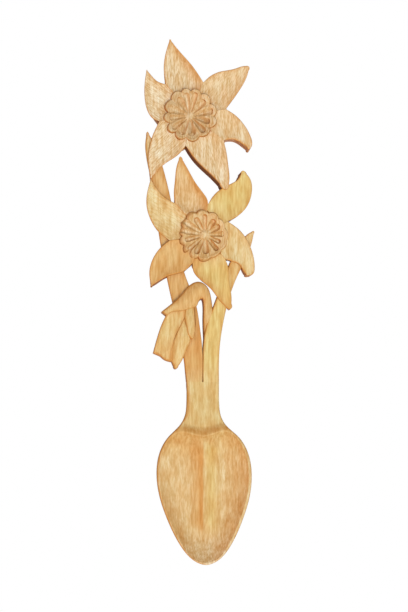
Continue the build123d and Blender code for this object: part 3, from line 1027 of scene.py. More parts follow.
@dataclass
class Stem:
    """The two leaves, the neck that joins them and the heart-shaped bowl. Drops are below the neck's foot.

    Attributes:
        leaves: the two leaves.
        neck_shift: how far the neck stands right of its solid's middle.
        neck_width: width of the neck under the slit.
        waist: points down the neck's side, as (share of its length, share of its flare).
        stations: bowl's outline, as (half width, drop).
        bowl_offset: how far the bowl's middle stands to the right of the neck's.
        bowl_lean: how much further it stands there at its tip.
        bowl_tones: tones at shares of the way from the neck's top to the bowl's tip.
        rim_widths: widths of the bowl's rim on the left and on the right.
        hump_drops: drops of the heart's left and right humps.
        hump_half: distance of the humps from the middle.
        cleft_drop: drop of the cleft between them.
        hollow_drop: drop of the hollow's deepest point.
        floor: level of that point.
        climb: how far the neck climbs to the heart's upper edge at its very end.
        climb_run: length of that climb.
        ridge: height of the ridge below the cleft.
        ridge_run: drops where the ridge starts, is whole, starts to fade and ends.
        leaf_foot: shares of a leaf within which its inner edge, its draft and its relief begin.
        edge: radius of the bowl's rounded edge.
        neck_softness: how much rounder the neck's left and right edges are.
        neck_eased: shares of the neck where that starts, is whole, starts to fade and ends.
        slit_half: half of the slit's width at its foot.
        spoon_end: share of the edges at which the two stop short of the bowl's tip.
    """

    leaves: list[Leaf]
    neck_shift: float
    neck_width: float
    waist: Points
    stations: Points
    bowl_offset: float
    bowl_lean: float
    bowl_tones: Tones
    rim_widths: Point
    hump_drops: Point
    hump_half: float
    cleft_drop: float
    hollow_drop: float
    floor: float
    climb: float
    climb_run: float
    ridge: float
    ridge_run: Stops
    leaf_rows: int = 190
    leaf_crowding: float = 1.1
    leaf_draft: float = -0.4
    leaf_foot: tuple[Point, Point, Point] = ((0.06, 0.2), (0.0, 0.1), (0.0, 0.12))
    tip_radius: float = 0.8
    edge: float = 0.75
    neck_softness: Point = (0.9, 0.4)
    neck_eased: Stops = (0.0, 0.3, 0.75, 1.0)
    slit_half: float = 0.18
    spoon_rows: int = 230
    spoon_crowding: float = 1.25
    spoon_end: float = 0.994

    def neck(self) -> tuple[float, float, float]:
        """Middle, top and foot of the neck."""
        low, high = face_box("neck")
        return self.neck_shift + (low[0] + high[0]) / 2.0, high[1], low[1]

    def bowl_top(self) -> Array:
        """Middle of the bowl's top, at the neck's foot."""
        middle, _, foot = self.neck()
        return np.array([middle + self.bowl_offset, foot])

    def leaf_blade(self, leaf: Leaf) -> Blade:
        """Leaf as a blade, whose inner edge starts at the neck's middle and whose foot runs into the neck.

        Args:
            leaf: the leaf.

        Returns:
            The leaf's blade, whose first edge is the one further left.
        """
        middle, top, _ = self.neck()
        lines = []
        for half, points in ((self.neck_width / 2.0, leaf.outer), (self.slit_half, leaf.inner)):
            lines.append(spline_through([(middle + leaf.side * half, top), *points, leaf.tip]))
        order = slice(None, None, -leaf.side)
        rows = pointed_rows(*lines[order], towards_tip(self.leaf_rows, self.leaf_crowding), self.tip_radius)
        made = Blade(*rows, level_of(leaf.node), 0.0, leaf.relief, leaf.tones, front_shade=leaf.front_shade)
        opening, drafted, shaped = (smooth_step(made.along(), *span) for span in self.leaf_foot)
        made.soft = (1.0, (1.0 + opening) / 2.0)[order]
        made.draft = (self.leaf_draft * drafted, 0.0)[order]
        made.shaped = shaped
        return made

    def bowl_edge(self, insets: Point) -> tuple[Points, Point, Points]:
        """Outline of the bowl below the neck, drawn in.

        Args:
            insets: how far it is drawn in on the left and on the right.

        Returns:
            Its left side from the neck down, its tip, and its right side from the neck down.
        """
        middle, foot = self.bowl_top()
        length = foot - face_box("bowl")[0][1]
        left, right = [], []
        for half, drop in self.stations:
            centre = middle + self.bowl_lean * drop / length
            left.append((centre - half + insets[0], foot - drop))
            right.append((centre + half - insets[1], foot - drop))
        return left, (middle + self.bowl_lean, foot - length + insets[0]), right

    def spoon(self) -> "BowlBlade":
        """Neck and bowl as one blade, from the neck's top to the bowl's tip.

        Returns:
            The blade, whose two edges are one line round neck and bowl, parted at the tip.
        """
        middle, top, foot = self.neck()
        left, tip, right = self.bowl_edge((0.0, 0.0))
        narrow = self.neck_width / 2.0
        halves = [narrow + flared * (half_width("neck") - narrow) for _, flared in self.waist]
        heights = [top + down * (foot - top) for down, _ in self.waist]
        left = [*zip([middle - half for half in halves], heights), *left]
        right = [*zip([middle + half for half in halves], heights), *right]
        whole = spline_through([*left, tip, *right[::-1]])
        nearest = int(np.argmin(np.linalg.norm(whole - np.array(tip), axis=1)))
        shares = towards_tip(self.spoon_rows, self.spoon_crowding) * self.spoon_end
        first, second = at_shares(whole[: nearest + 1], shares), at_shares(whole[nearest:][::-1], shares)
        eased = rise_and_fall((top - first[:, 1:]) / (top - foot), self.neck_eased)
        # The front takes an even painted shade, the left edge painted shade in honey, and the right edge,
        # which faces the light, little wax as painted light.
        return BowlBlade(
            first, second,
            front=level_of("bowl"), back=0.0, relief=Relief(edge=self.edge), tones=self.bowl_tones,
            soft=tuple(1.0 + softness * eased for softness in self.neck_softness), sawn=(0.0, 0.0),
            edge_wax_and_shade=(1.0, 0.2), edge_shade=(0.12, 0.0), edge_shade_width=2.6, front_shade=0.06, columns=132,
            stem=self,
        )

    def build(self, material: Material) -> None:
        """Make the two leaves, the neck and the bowl.

        Args:
            material: finish of the four pieces.
        """
        for leaf in self.leaves:
            self.leaf_blade(leaf).skin().piece(leaf.node, material)
        spoon = self.spoon()
        skin = spoon.skin()
        joint = int(np.argmin(np.abs(spoon.first[:, 1] - self.neck()[2])))
        skin.cut(0, joint).piece("neck", material)
        skin.cut(joint, len(spoon.first) - 1).piece("bowl", material)


@dataclass
class BowlBlade(Blade):
    """Neck and bowl: a blade whose front climbs to the rim and is hollowed out, and whose back is rounded.

    A band is the width of a bell curve and the place of its middle. Drops are below the neck's foot.

    Attributes:
        stem: sizes of the neck and the bowl.
        back_flat: share of the way from the middle to the edge at which the back starts to rise.
        rim_wall: how high the back rises, as a share of the front's level.
        dish_power: how steep the hollow's wall is.
        neck_power: how late the neck climbs.
        crest_widths: how far the ridge's left and right sides run out.
        crest_power: how round its right side is.
        crest_depth: depth of the hollow from which the ridge has its whole height.
        ridge_shade_width: how far the honey left of the ridge, painted shade on its left flank, reaches.
        ridge_shade_edge: half of the width over which it starts at the crest.
        ridge_light_band: band of gold right of the crest, painted light on the ridge's right flank.
        ridge_light_share: how much gold that is.
        crease_shade_band: band of honey past the heart's edge, painted shade along the V where the neck
            steps down.
        crease_shade_end: drops between which it fades.
        crease_shade_honey: how much honey that is.
        shoulder: band of honey down the shoulders.
        shoulder_honey: how much honey that is everywhere, and how much more on the left.
        shoulder_side: how far left of the crest it is whole.
        shade_band: band of painted shade on the hollow's lower-left wall, as shares of the way to its edge.
        shade_run: drops where that shade starts, is whole, starts to fade and ends.
        shade_side: how far left of the crest it is whole.
        shade_honey: how much honey lies there.
        shade_dark: how much darker the painted shade makes it.
    """

    stem: Stem | None = None
    back_flat: float = 0.45
    rim_wall: float = 0.6
    dish_power: float = 3.8
    neck_power: float = 1.6
    crest_widths: Point = (4.0, 6.5)
    crest_power: float = 1.4
    crest_depth: float = 3.0
    ridge_shade_width: float = 4.2
    ridge_shade_edge: float = 0.3
    ridge_light_band: Point = (3.5, 4.0)
    ridge_light_share: float = 0.6
    crease_shade_band: Point = (1.6, 1.6)
    crease_shade_end: Point = (4.0, 8.0)
    crease_shade_honey: float = 0.7
    shoulder: Point = (4.5, 8.0)
    shoulder_honey: Point = (0.02, 0.3)
    shoulder_side: float = 4.0
    shade_band: Point = (0.09, 0.92)
    shade_run: Stops = (28.0, 42.0, 54.0, 64.0)
    shade_side: float = 5.0
    shade_honey: float = 0.35
    shade_dark: float = 0.1

    def drop(self, grid: Array) -> Array:
        """Drop of every place below the neck's foot."""
        return self.stem.neck()[2] - grid[..., 1]

    def down(self, grid: Array) -> Array:
        """Share of the way down the neck at every place, and 1 on the bowl."""
        _, top, foot = self.stem.neck()
        return np.clip((top - grid[..., 1]) / (top - foot), 0.0, 1.0)

    def heart(self) -> Array:
        """Outline of the heart-shaped hollow.

        Returns:
            Points from the cleft round the left lobe, the tip and the right lobe, back to the cleft.
        """
        stem, centre = self.stem, self.stem.bowl_top()
        left, tip, right = stem.bowl_edge(stem.rim_widths)
        cleft = centre - (0.0, stem.cleft_drop)
        humps = [centre + (side * stem.hump_half, -drop) for side, drop in zip((-1.0, 1.0), stem.hump_drops)]
        halfway = [(cleft + hump) / 2.0 for hump in humps]
        left_lobe = spline_through([cleft, halfway[0], humps[0], *left, tip])
        right_lobe = spline_through([tip, *right[::-1], humps[1], halfway[1], cleft])
        return np.concatenate([left_lobe, right_lobe])

    @staticmethod
    def reach(grid: Array, centre: Array, outline: Array) -> Array:
        """Distance of every place from a centre, as a share of the outline's distance in the same direction.

        Args:
            grid: (rows, columns, 2) places.
            centre: the centre.
            outline: (count, 2) points of the outline about it.

        Returns:
            (rows, columns) shares, 1 on the outline.
        """
        away, offset = outline - centre, grid - centre
        angle = np.unwrap(np.arctan2(away[:, 1], away[:, 0]))
        order = np.argsort(angle)
        low = angle[order][0]
        turn = (np.arctan2(offset[..., 1], offset[..., 0]) - low) % TURN + low
        limit = np.interp(turn, angle[order], np.linalg.norm(away, axis=1)[order])
        return np.linalg.norm(offset, axis=-1) / limit

    def from_crest(self, grid: Array) -> tuple[Array, Array]:
        """Distance of every place right of the ridge's crest, and the share of the ridge's height there."""
        return grid[..., 0] - self.stem.bowl_top()[0], rise_and_fall(self.drop(grid), self.stem.ridge_run)

    def heart_reach(self, grid: Array) -> tuple[Array, Array]:
        """Measure places against the heart, about its deepest point.

        Args:
            grid: (rows, columns, 2) places.

        Returns:
            The reach of every place, and how far past the heart's edge it lies.
        """
        centre = self.stem.bowl_top() - (0.0, self.stem.hollow_drop)
        reach = np.maximum(self.reach(grid, centre, self.heart()), LEAST)
        return reach, np.linalg.norm(grid - centre, axis=-1) * (1.0 - 1.0 / reach)

    def hollow(self, grid: Array) -> Array:
        """Depth of the hollow, less the ridge below the cleft.

        The depth is the greatest one times 1 less a power of the reach. The ridge is steeper on its left.

        Args:
            grid: (rows, columns, 2) places.

        Returns:
            (rows, columns) depths.
        """
        stem = self.stem
        reach, _ = self.heart_reach(grid)
        depth = np.clip(1.0 - reach**self.dish_power, 0.0, None) * (self.front - stem.floor)
        aside, length = self.from_crest(grid)
        left, right = self.crest_widths
        falling = np.exp(-((np.maximum(aside, 0.0) / right) ** self.crest_power))
        crest = np.where(aside < 0.0, np.exp(aside / left), falling)
        return depth - stem.ridge * crest * length * smooth_step(depth, 0.0, self.crest_depth)

    def shaded_wall(self, grid: Array) -> Array:
        """Weigh the band of painted shade along the hollow's wall at the lower left.

        Args:
            grid: (rows, columns, 2) places.

        Returns:
            (rows, columns) weights: a bell across the band, with soft ends.
        """
        band = bell(self.heart_reach(grid)[0], *self.shade_band)
        band = band * rise_and_fall(self.drop(grid), self.shade_run)
        return band * smooth_step(-self.from_crest(grid)[0], 0.0, self.shade_side)

    def toned(self, grid: Array) -> tuple[Array, Array]:
        """Tones down the neck and bowl.

        Args:
            grid: (rows, around, 2) places.

        Returns:
            Honey, more of it on the climb, the left shoulder, left of the ridge and on the hollow's
            lower-left wall, all but the shoulder's as painted shade, and gold, more of it right of the
            ridge, as painted light.
        """
        honey, gold = super().toned(grid)
        aside, length = self.from_crest(grid)
        drop = self.drop(grid)
        # Painted shade: honey on the ridge's left flank, and on the hollow's lower-left wall.
        flank = np.exp(np.minimum(aside, 0.0) / self.ridge_shade_width)
        flank = flank * (1.0 - smooth_step(aside, -self.ridge_shade_edge, self.ridge_shade_edge))
        honey = honey + length * flank + self.shade_honey * self.shaded_wall(grid)
        # Painted shade in honey along the V where the neck steps down into the hollow.
        crease_shade = bell(self.heart_reach(grid)[1], *self.crease_shade_band)
        crease_shade = crease_shade * (1.0 - smooth_step(drop, *self.crease_shade_end))
        everywhere, leftwards = self.shoulder_honey
        shoulder = everywhere + leftwards * smooth_step(-aside, 0.0, self.shoulder_side)
        honey = honey + self.crease_shade_honey * crease_shade + bell(drop, *self.shoulder) * shoulder
        # Painted light: gold on the ridge's right flank.
        gold = gold + self.ridge_light_share * length * bell(aside, *self.ridge_light_band)
        return np.clip(honey, 0.0, 1.0), np.clip(gold, 0.0, 1.0)

    def front_shading(self, grid: Array) -> Array:
        """How much painted shade lies on each place of the front: most on the hollow's lower-left wall."""
        return super().front_shading(grid) + self.shade_dark * self.shaded_wall(grid)

    def front_levels(self, grid: Array) -> Array:
        """Levels of the front: the neck climbs to the rim, most of all at its end, less the hollow.

        Args:
            grid: (rows, columns, 2) places.

        Returns:
            (rows, columns) levels.
        """
        stem, start = self.stem, level_of("left_leaf")
        level = start + (self.front - stem.climb - start) * self.down(grid) ** self.neck_power
        level = level + stem.climb * (1.0 - smooth_step(self.heart_reach(grid)[1], 0.0, stem.climb_run))
        level = level + hand_cut(grid[..., 0], grid[..., 1], self.relief.uneven)
        return level - self.edge_drop(self.relief.edge) - self.hollow(grid)

    def back_levels(self, grid: Array) -> Array:
        """Levels of the back: flat in the middle and a quarter ellipse up to the edges.

        Down the neck the ellipse takes up more and more of the half width. Round the bowl the reach is
        measured from the neck's foot.

        Args:
            grid: (rows, columns, 2) places.

        Returns:
            (rows, columns) levels.
        """
        middle, _, foot = self.stem.neck()
        flare = half_width("neck")
        down = self.down(grid)
        rounding = np.clip(smooth_step(down, 0.0, 1.0), 2.0 * LEAST, 1.0)
        neck_reach = 1.0 - (1.0 - np.abs(2.0 * self.across() - 1.0)) / rounding
        outline = np.concatenate([self.first, self.second[::-1]])
        below = outline[outline[:, 1] <= foot]
        outline = np.concatenate([[(middle - flare, foot)], below, [(middle + flare, foot)]])
        bowl_reach = np.clip(self.reach(grid, np.array([middle, foot]), outline), 0.0, 1.0)
        reach = np.where(grid[..., 1] < foot, bowl_reach, neck_reach)
        share = np.clip((reach - self.back_flat) / (1.0 - self.back_flat), 0.0, 1.0)
        start = level_of("left_leaf")
        level = start + (self.front - start) * down
        rise = np.minimum(1.0 - np.sqrt(1.0 - share**2), self.rim_wall)
        return level * rise + self.edge_drop(self.back_edge) * (1.0 - rise)


# Bud


@dataclass
class Bud:
    """Closed bud that droops from the end of a bent stalk.

    Attributes:
        stalk_outer: outer side of the bend, from the foot to the spathe's tip.
        stalk_inner: inner side of the bend, from the heel to the spathe's notch.
        left_side: free edge of the left petal, from the spathe down.
        left_hem: lower end of the left petal, from its free edge to the fold.
        left_fold: edge of the left petal along the fold, from the spathe down.
        middle_left: middle petal's edge along the fold, down to its tip.
        middle_right: middle petal's other edge, down to the same tip.
        tongue_left: left edge of the short petal in front, down to its tip.
        tongue_right: right edge of the short petal in front, down to the same tip.
        tip_radius: half the width at which the two pointed petals are rounded off.
        fold_step: how much higher the middle petal stands at the top of the fold.
        fold_soft: radius share of the edges' rounding along the fold and under the spathe.
        left_merge: shares of the left petal between which its fold closes up.
        middle_merge: the same for the middle petal.
        middle_open: shares of the middle petal between which its edge comes free below the left one.
        stalk_sink: how far the stalk's foot dips under the right leaf.
        stalk_merge: shares of the stalk between which its inner edge loses its rounding over the bud.
        tongue_sink: how far the short petal's top dips under the spathe.
        tongue_draft: how far the short petal's back stands out past its front on the right.
        tongue_end: shares of the short petal between which that fades.
    """

    stalk_outer: Points
    stalk_inner: Points
    left_side: Points
    left_hem: Points
    left_fold: Points
    middle_left: Points
    middle_right: Points
    tongue_left: Points
    tongue_right: Points
    tip_radius: float = 1.2
    fold_step: float = 0.6
    fold_soft: float = 0.6
    left_merge: Point = (0.4, 0.7)
    middle_merge: Point = (0.2, 0.45)
    middle_open: Point = (0.85, 0.95)
    stalk_sink: float = 5.0
    stalk_merge: Point = (0.5, 0.6)
    tongue_sink: float = 1.8
    tongue_draft: float = 0.8
    tongue_end: Point = (0.55, 0.9)
    rows: int = 80
    stalk_rows: int = 150
    first_row: float = 0.01

    @staticmethod
    def strip(first: Points, second: Points, even: Array) -> tuple[Array, Array]:
        """Rows along two edges that don't meet, at even shares of both."""
        return at_shares(spline_through(first), even), at_shares(spline_through(second), even)

    def pointed(self, first: Points, second: Points) -> tuple[Array, Array]:
        """Rows along two edges that meet in a tip."""
        shares = np.linspace(self.first_row, 1.0, self.rows)
        return pointed_rows(spline_through(first), spline_through(second), shares, self.tip_radius)

    def stalk(self) -> Blade:
        """Stalk and spathe, round in section, with their end rounded over.

        Returns:
            Its blade.
        """
        even = np.linspace(0.0, 1.0, self.stalk_rows)
        return Blade(
            *self.strip(self.stalk_inner, self.stalk_outer, even),
            front=level_of("bud_stalk"), back=0.2,
            relief=Relief(cup=-0.12, cup_limit=0.9, edge=0.9, sink=self.stalk_sink),
            tones=((0.0, Tone.WHEAT), (0.5, Tone.HONEY), (1.0, Tone.WHEAT)),
            soft=(1.0 - self.fold_soft * smooth_step(even[:, None], *self.stalk_merge), 1.0),
            soft_end=True,
        )

    def left_petal(self) -> Blade:
        """Left petal, which runs into the middle one towards its lower end.

        Returns:
            Its blade.
        """
        even = np.linspace(0.0, 1.0, self.rows)
        half = self.fold_step / 2.0
        return Blade(
            *self.strip(self.left_side, self.left_fold, even),
            front=level_of("bud_left_petal") + half, back=0.3,
            relief=Relief(cup=0.06, trough=0.45, sink=half, stroke_angle=78.0, stroke_depth=0.1),
            tones=((0.0, Tone.WHEAT), (0.4, Tone.CORN), (1.0, Tone.WHEAT)),
            end=spline_through(self.left_hem),
            soft=(1.0, self.fold_soft * (1.0 - smooth_step(even[:, None], *self.left_merge))),
            soft_end=True, edge_shade=(0.0, 0.5),
        )

    def middle_petal(self) -> Blade:
        """Middle petal, whose left edge closes up with the left petal and comes free again at its tip.

        Returns:
            Its blade.
        """
        half = self.fold_step / 2.0
        made = Blade(
            *self.pointed(self.middle_left, self.middle_right),
            front=level_of("bud_middle_petal") - half, back=0.45,
            relief=Relief(cup=-0.1, sink=-half, stroke_angle=68.0, stroke_depth=0.1),
            tones=((0.0, Tone.CORN), (1.0, Tone.WHEAT)), edge_shade=(0.5, 0.0),
        )
        run = made.along()
        closed = self.fold_soft * (1.0 - smooth_step(run, *self.middle_merge))
        made.soft = (np.maximum(closed, smooth_step(run, *self.middle_open)), 1.0)
        return made

    def tongue(self) -> Blade:
        """Short petal in front, with painted shade on its right side, in the deep slot beside it.

        Returns:
            Its blade.
        """
        made = Blade(
            *self.pointed(self.tongue_left, self.tongue_right),
            front=level_of("bud_tongue"), back=6.5,
            relief=Relief(cup=-0.06, edge=0.55, sink=self.tongue_sink),
            tones=((0.0, Tone.CORN), (1.0, Tone.WHEAT)), sawn=(0.05, 0.6),
        )
        made.draft = (0.0, self.tongue_draft * (1.0 - smooth_step(made.along(), *self.tongue_end)))
        return made

    def build(self, material: Material) -> None:
        """Make the stalk and the bud's three petals.

        Args:
            material: finish of the four pieces.
        """
        self.stalk().skin().piece("bud_stalk", material)
        self.left_petal().skin().piece("bud_left_petal", material)
        self.middle_petal().skin().piece("bud_middle_petal", material)
        self.tongue().skin().piece("bud_tongue", material)


# Finish


def linear_colour(code: str) -> tuple[float, float, float, float]:
    """Turn an sRGB hex colour into a linear one.

    Args:
        code: the colour, as "#rrggbb".

    Returns:
        Red, green, blue and alpha.
    """
    parts = np.array([int(code[start : start + 2], 16) for start in (1, 3, 5)]) / 255.0
    parts = np.where(parts <= 0.04045, parts / 12.92, ((parts + 0.055) / 1.055) ** 2.4)
    return (*parts.tolist(), 1.0)


def add_node(tree: Tree, kind: str, inputs: dict, **settings: Any) -> bpy.types.Node:
    """Add a node with its settings, and link or set its inputs.

    Args:
        tree: node tree to add to.
        kind: node type.
        inputs: input names or numbers, each with a socket to link from or a value.
        settings: properties of the node.

    Returns:
        The new node.
    """
    made = tree.nodes.new(kind)
    for key, value in settings.items():
        setattr(made, key, value)
    for key, value in inputs.items():
        if isinstance(value, Socket):
            tree.links.new(value, made.inputs[key])
        else:
            made.inputs[key].default_value = value
    return made


@dataclass(frozen=True)
class Grain:
    """Pattern drawn out along the fibres: width and length of its features in millimetres, and detail."""

    width: float
    length: float
    detail: float


@dataclass(frozen=True)
class Tint:
    """Colour that multiplies another one, whole at one value of a pattern and gone at the other."""

    code: str
    whole: float
    gone: float


@dataclass(frozen=True)
class Limewood:
    """Carved, sanded and waxed limewood: pale and fine, with warm streaks up the board and dark end grain.

    Sizes are in millimetres. The fibres of limewood are too fine to show at this size, so the fine streaks
    are drawn about three times as wide. A ramp is two values of a pattern and what they become.

    Attributes:
        cream: lightest colour of the board.
        honey: colour of its warm parts.
        gold: colour of its yellow parts.
        fleck: colour of the pale flecks.
        sawn: dark brown of the sawn sides, where the wax soaks in, laid also as painted shade on shaded
            walls, on the trumpets and on the lower pieces' fronts.
        wax: orange of burnished edges, laid thinner on slopes that face right as painted light, and laid as
            painted shade on the trumpets' flanks.
        fibre: tint of the fibres.
        band: tint of the broad bands.
        patch: tint of the warm patches.
        ring: tint of the late growth.
        streak: tint of the streaks.
        shade: painted shade on slopes that face left, away from the light.
        end_grain: tint of slopes that cut across the fibres, where the wax soaks in.
        cut_grain_and_shade: tint of steep sides that turn away from the front: partly the colour of grain
            cut through, partly painted shade.
        flecked: ramp of the flecks' strength.
        patchy: ramp of the wax, the sawn sides' colour and their painted shade over the streaks.
        lit_right: ramp that lays the wax thinner on slopes that face right: painted light there, painted
            shade where it stays thick.
        rough: ramp of the roughness over the streaks.
        sheen: ramp of the gloss, which sawn sides and parts with painted shade lose.
        ring_waver: distortion of the rings, its detail and the detail's scale.
    """

    cream: str = "#fffbe9"
    honey: str = "#eac586"
    gold: str = "#eee19f"
    fleck: str = "#fff9e8"
    sawn: str = "#562c12"
    wax: str = "#cf8b3c"
    fibre: Tint = Tint("#e1ccae", 0.34, 0.6)
    band: Tint = Tint("#faf4ea", 0.35, 0.65)
    patch: Tint = Tint("#fbf0e2", 0.35, 0.65)
    ring: Tint = Tint("#faf4ea", 0.0, 1.0)
    streak: Tint = Tint("#ecdcc2", 0.36, 0.62)
    shade: Tint = Tint("#ffe6d2", -0.6, 0.0)
    end_grain: Tint = Tint("#eee2d0", 0.5, 0.05)
    cut_grain_and_shade: Tint = Tint("#dfae74", 0.2, 0.6)
    flecked: Stops = (0.5, 0.72, 0.0, 0.45)
    patchy: Stops = (0.3, 0.7, 0.9, 0.55)
    lit_right: Stops = (0.0, 0.6, 1.0, 0.5)
    rough: Stops = (0.3, 0.7, 0.46, 0.58)
    sheen: Stops = (0.0, 0.4, 0.3, 0.03)
    bands: Grain = Grain(7.0, 110.0, 2.0)
    streaks: Grain = Grain(1.0, 8.0, 3.0)
    patches: Grain = Grain(4.5, 8.0, 1.0)
    fibres: Grain = Grain(0.45, 2.6, 2.0)
    flecks: Grain = Grain(0.55, 3.0, 1.0)
    grain_roughness: float = 0.55
    ring_spacing: float = 3.1
    ring_slope: float = 0.12
    ring_waver: Place = (5.0, 2.0, 0.7)
    pith: Place = (-38.0, 70.0, 0.0)
    bump_depth: float = 0.06
    bump_strength: float = 0.55
    ior: float = 1.46

    def drawn_noise(self, tree: Tree, place: Socket, grain: Grain) -> Socket:
        """Noise drawn out upwards.

        Args:
            tree: node tree to add to.
            place: places on the board.
            grain: size of its features.

        Returns:
            The pattern.
        """
        wide, long = 1.0 / (grain.width * MM), 1.0 / (grain.length * MM)
        drawn = add_node(tree, "ShaderNodeMapping", {"Vector": place, "Scale": (wide, wide, long)})
        inputs = {"Vector": drawn.outputs[0], "Scale": 1.0, "Detail": grain.detail}
        inputs["Roughness"] = self.grain_roughness
        return add_node(tree, "ShaderNodeTexNoise", inputs).outputs[0]

    def growth_rings(self, tree: Tree, place: Socket) -> Socket:
        """Growth rings about a pith behind the board, which curve over the carved forms.

        Args:
            tree: node tree to add to.
            place: places on the board.

        Returns:
            The pattern, which is a wave of 20 radians to a unit of scaled distance from the pith.
        """
        shift = tuple(-part * MM for part in self.pith)
        inputs = {"Vector": place, "Location": shift, "Scale": (1.0, 1.0, self.ring_slope)}
        away = add_node(tree, "ShaderNodeMapping", inputs).outputs[0]
        scale = TURN / (20.0 * self.ring_spacing * MM)
        distortion, detail, detail_scale = self.ring_waver
        inputs = {"Vector": away, "Scale": scale, "Distortion": distortion}
        inputs |= {"Detail": detail, "Detail Scale": detail_scale}
        wave = add_node(tree, "ShaderNodeTexWave", inputs, wave_type="RINGS", rings_direction="Z")
        return wave.outputs["Fac"]

    def tinted(self, tree: Tree, colour: Socket, pattern: Socket, tint: Tint) -> Socket:
        """Multiply a colour by a tint where a pattern calls for it.

        Args:
            tree: node tree to add to.
            colour: the colour so far.
            pattern: the pattern.
            tint: the tint and the pattern's values that it goes by.

        Returns:
            The tinted colour.
        """
        inputs = {0: pattern, 1: tint.whole, 2: tint.gone, 3: 1.0, 4: 0.0}
        share = add_node(tree, "ShaderNodeMapRange", inputs)
        inputs = {0: share.outputs[0], 6: colour, 7: linear_colour(tint.code)}
        return add_node(tree, "ShaderNodeMix", inputs, data_type="RGBA", blend_type="MULTIPLY").outputs[2]

    def laid(
        self, tree: Tree, colour: Socket, layer: str, code: str, strength: Socket | float = 1.0
    ) -> Socket:
        """Lay a colour over another one by a share that the carving left on every point.

        Args:
            tree: node tree to add to.
            colour: the colour so far.
            layer: name of the share.
            code: the colour to lay over it.
            strength: what the share is multiplied by.

        Returns:
            The colour with the layer on it.
        """
        share = add_node(tree, "ShaderNodeAttribute", {}, attribute_name=layer).outputs["Fac"]
        weight = add_node(tree, "ShaderNodeMath", {0: share, 1: strength}, operation="MULTIPLY")
        inputs = {0: weight.outputs[0], 6: colour, 7: linear_colour(code)}
        return add_node(tree, "ShaderNodeMix", inputs, data_type="RGBA").outputs[2]

    def slopes(self, tree: Tree) -> tuple[Socket, Socket, Socket]:
        """How far the surface turns right, how squarely it faces the front and how far it cuts the fibres.

        Args:
            tree: node tree to add to.

        Returns:
            The three, from the normal's X and from the sizes of its Y and Z.
        """
        normal = add_node(tree, "ShaderNodeNewGeometry", {}).outputs["Normal"]
        parts = add_node(tree, "ShaderNodeSeparateXYZ", {0: normal}).outputs
        square, across = (
            add_node(tree, "ShaderNodeMath", {0: parts[axis]}, operation="ABSOLUTE") for axis in "YZ"
        )
        return parts["X"], square.outputs[0], across.outputs[0]

    def material(self) -> Material:
        """Make the material.

        Returns:
            Limewood whose colour is flecked cream under the board's tones, tinted by bands, rings and
            streaks, darker on slopes across the fibres, on sawn sides and waxed edges, with painted shade on
            slopes that face left or turn from the front and painted light on edges that face right, and a
            fine bump from the same streaks.
        """
        made = bpy.data.materials.new("limewood_carved_waxed")
        made.use_nodes = True
        tree = made.node_tree
        tree.nodes.clear()
        board = add_node(tree, "ShaderNodeTexCoord", {}).outputs["Object"]
        strokes = add_node(tree, "ShaderNodeAttribute", {}, attribute_name="strokes").outputs["Vector"]
        sawn_and_shade_share = add_node(tree, "ShaderNodeAttribute", {}, attribute_name="sawn").outputs["Fac"]
        streaks, bands, patches = (
            self.drawn_noise(tree, board, grain) for grain in (self.streaks, self.bands, self.patches)
        )
        fibres, flecks = (self.drawn_noise(tree, strokes, grain) for grain in (self.fibres, self.flecks))
        right, square, across = self.slopes(tree)
        ramps = (
            (flecks, self.flecked),
            (streaks, self.patchy),
            (right, self.lit_right),
            (streaks, self.rough),
            (sawn_and_shade_share, self.sheen),
        )
        flecked, patchy, lit_right, rough, sheen = (
            add_node(tree, "ShaderNodeMapRange", dict(enumerate((pattern, *ramp)))).outputs[0]
            for pattern, ramp in ramps
        )
        inputs = {0: flecked, 6: linear_colour(self.cream), 7: linear_colour(self.fleck)}
        colour = add_node(tree, "ShaderNodeMix", inputs, data_type="RGBA").outputs[2]
        colour = self.tinted(tree, colour, fibres, self.fibre)
        # The gold and honey layers hold the board's tones, and also painted light and shade on the bowl, the
        # trumpets and along edges.
        colour = self.laid(tree, colour, "gold", self.gold)
        colour = self.laid(tree, colour, "honey", self.honey)
        # The shade tint is painted shade on slopes that face left; the cut grain tint is partly cut-grain
        # colour, partly painted shade on steep sides.
        for pattern, tint in (
            (bands, self.band),
            (patches, self.patch),
            (self.growth_rings(tree, board), self.ring),
            (streaks, self.streak),
            (right, self.shade),
            (across, self.end_grain),
            (square, self.cut_grain_and_shade),
        ):
            colour = self.tinted(tree, colour, pattern, tint)
        # Wax lies thinner on slopes that face right, as painted light; the sawn layer carries the sawn
        # sides' colour and painted shade.
        wax_and_shade_share = add_node(tree, "ShaderNodeMath", {0: patchy, 1: lit_right}, operation="MULTIPLY").outputs[0]
        colour = self.laid(tree, colour, "wax", self.wax, wax_and_shade_share)
        colour = self.laid(tree, colour, "sawn", self.sawn, patchy)
        height = add_node(tree, "ShaderNodeMath", {0: streaks, 1: fibres}, operation="ADD").outputs[0]
        inputs = {"Strength": self.bump_strength, "Distance": self.bump_depth * MM, "Height": height}
        bump = add_node(tree, "ShaderNodeBump", inputs).outputs[0]
        inputs = {"Base Color": colour, "Roughness": rough, "Normal": bump, "IOR": self.ior}
        inputs["Specular IOR Level"] = sheen
        shader = add_node(tree, "ShaderNodeBsdfPrincipled", inputs)
        add_node(tree, "ShaderNodeOutputMaterial", {"Surface": shader.outputs[0]})
        return made


# Stage


@dataclass(frozen=True)
class Lamp:
    """Square soft light, by its name, place and size in metres, power in watts and colour."""

    name: str
    place: Place
    size: float
    power: float
    code: str


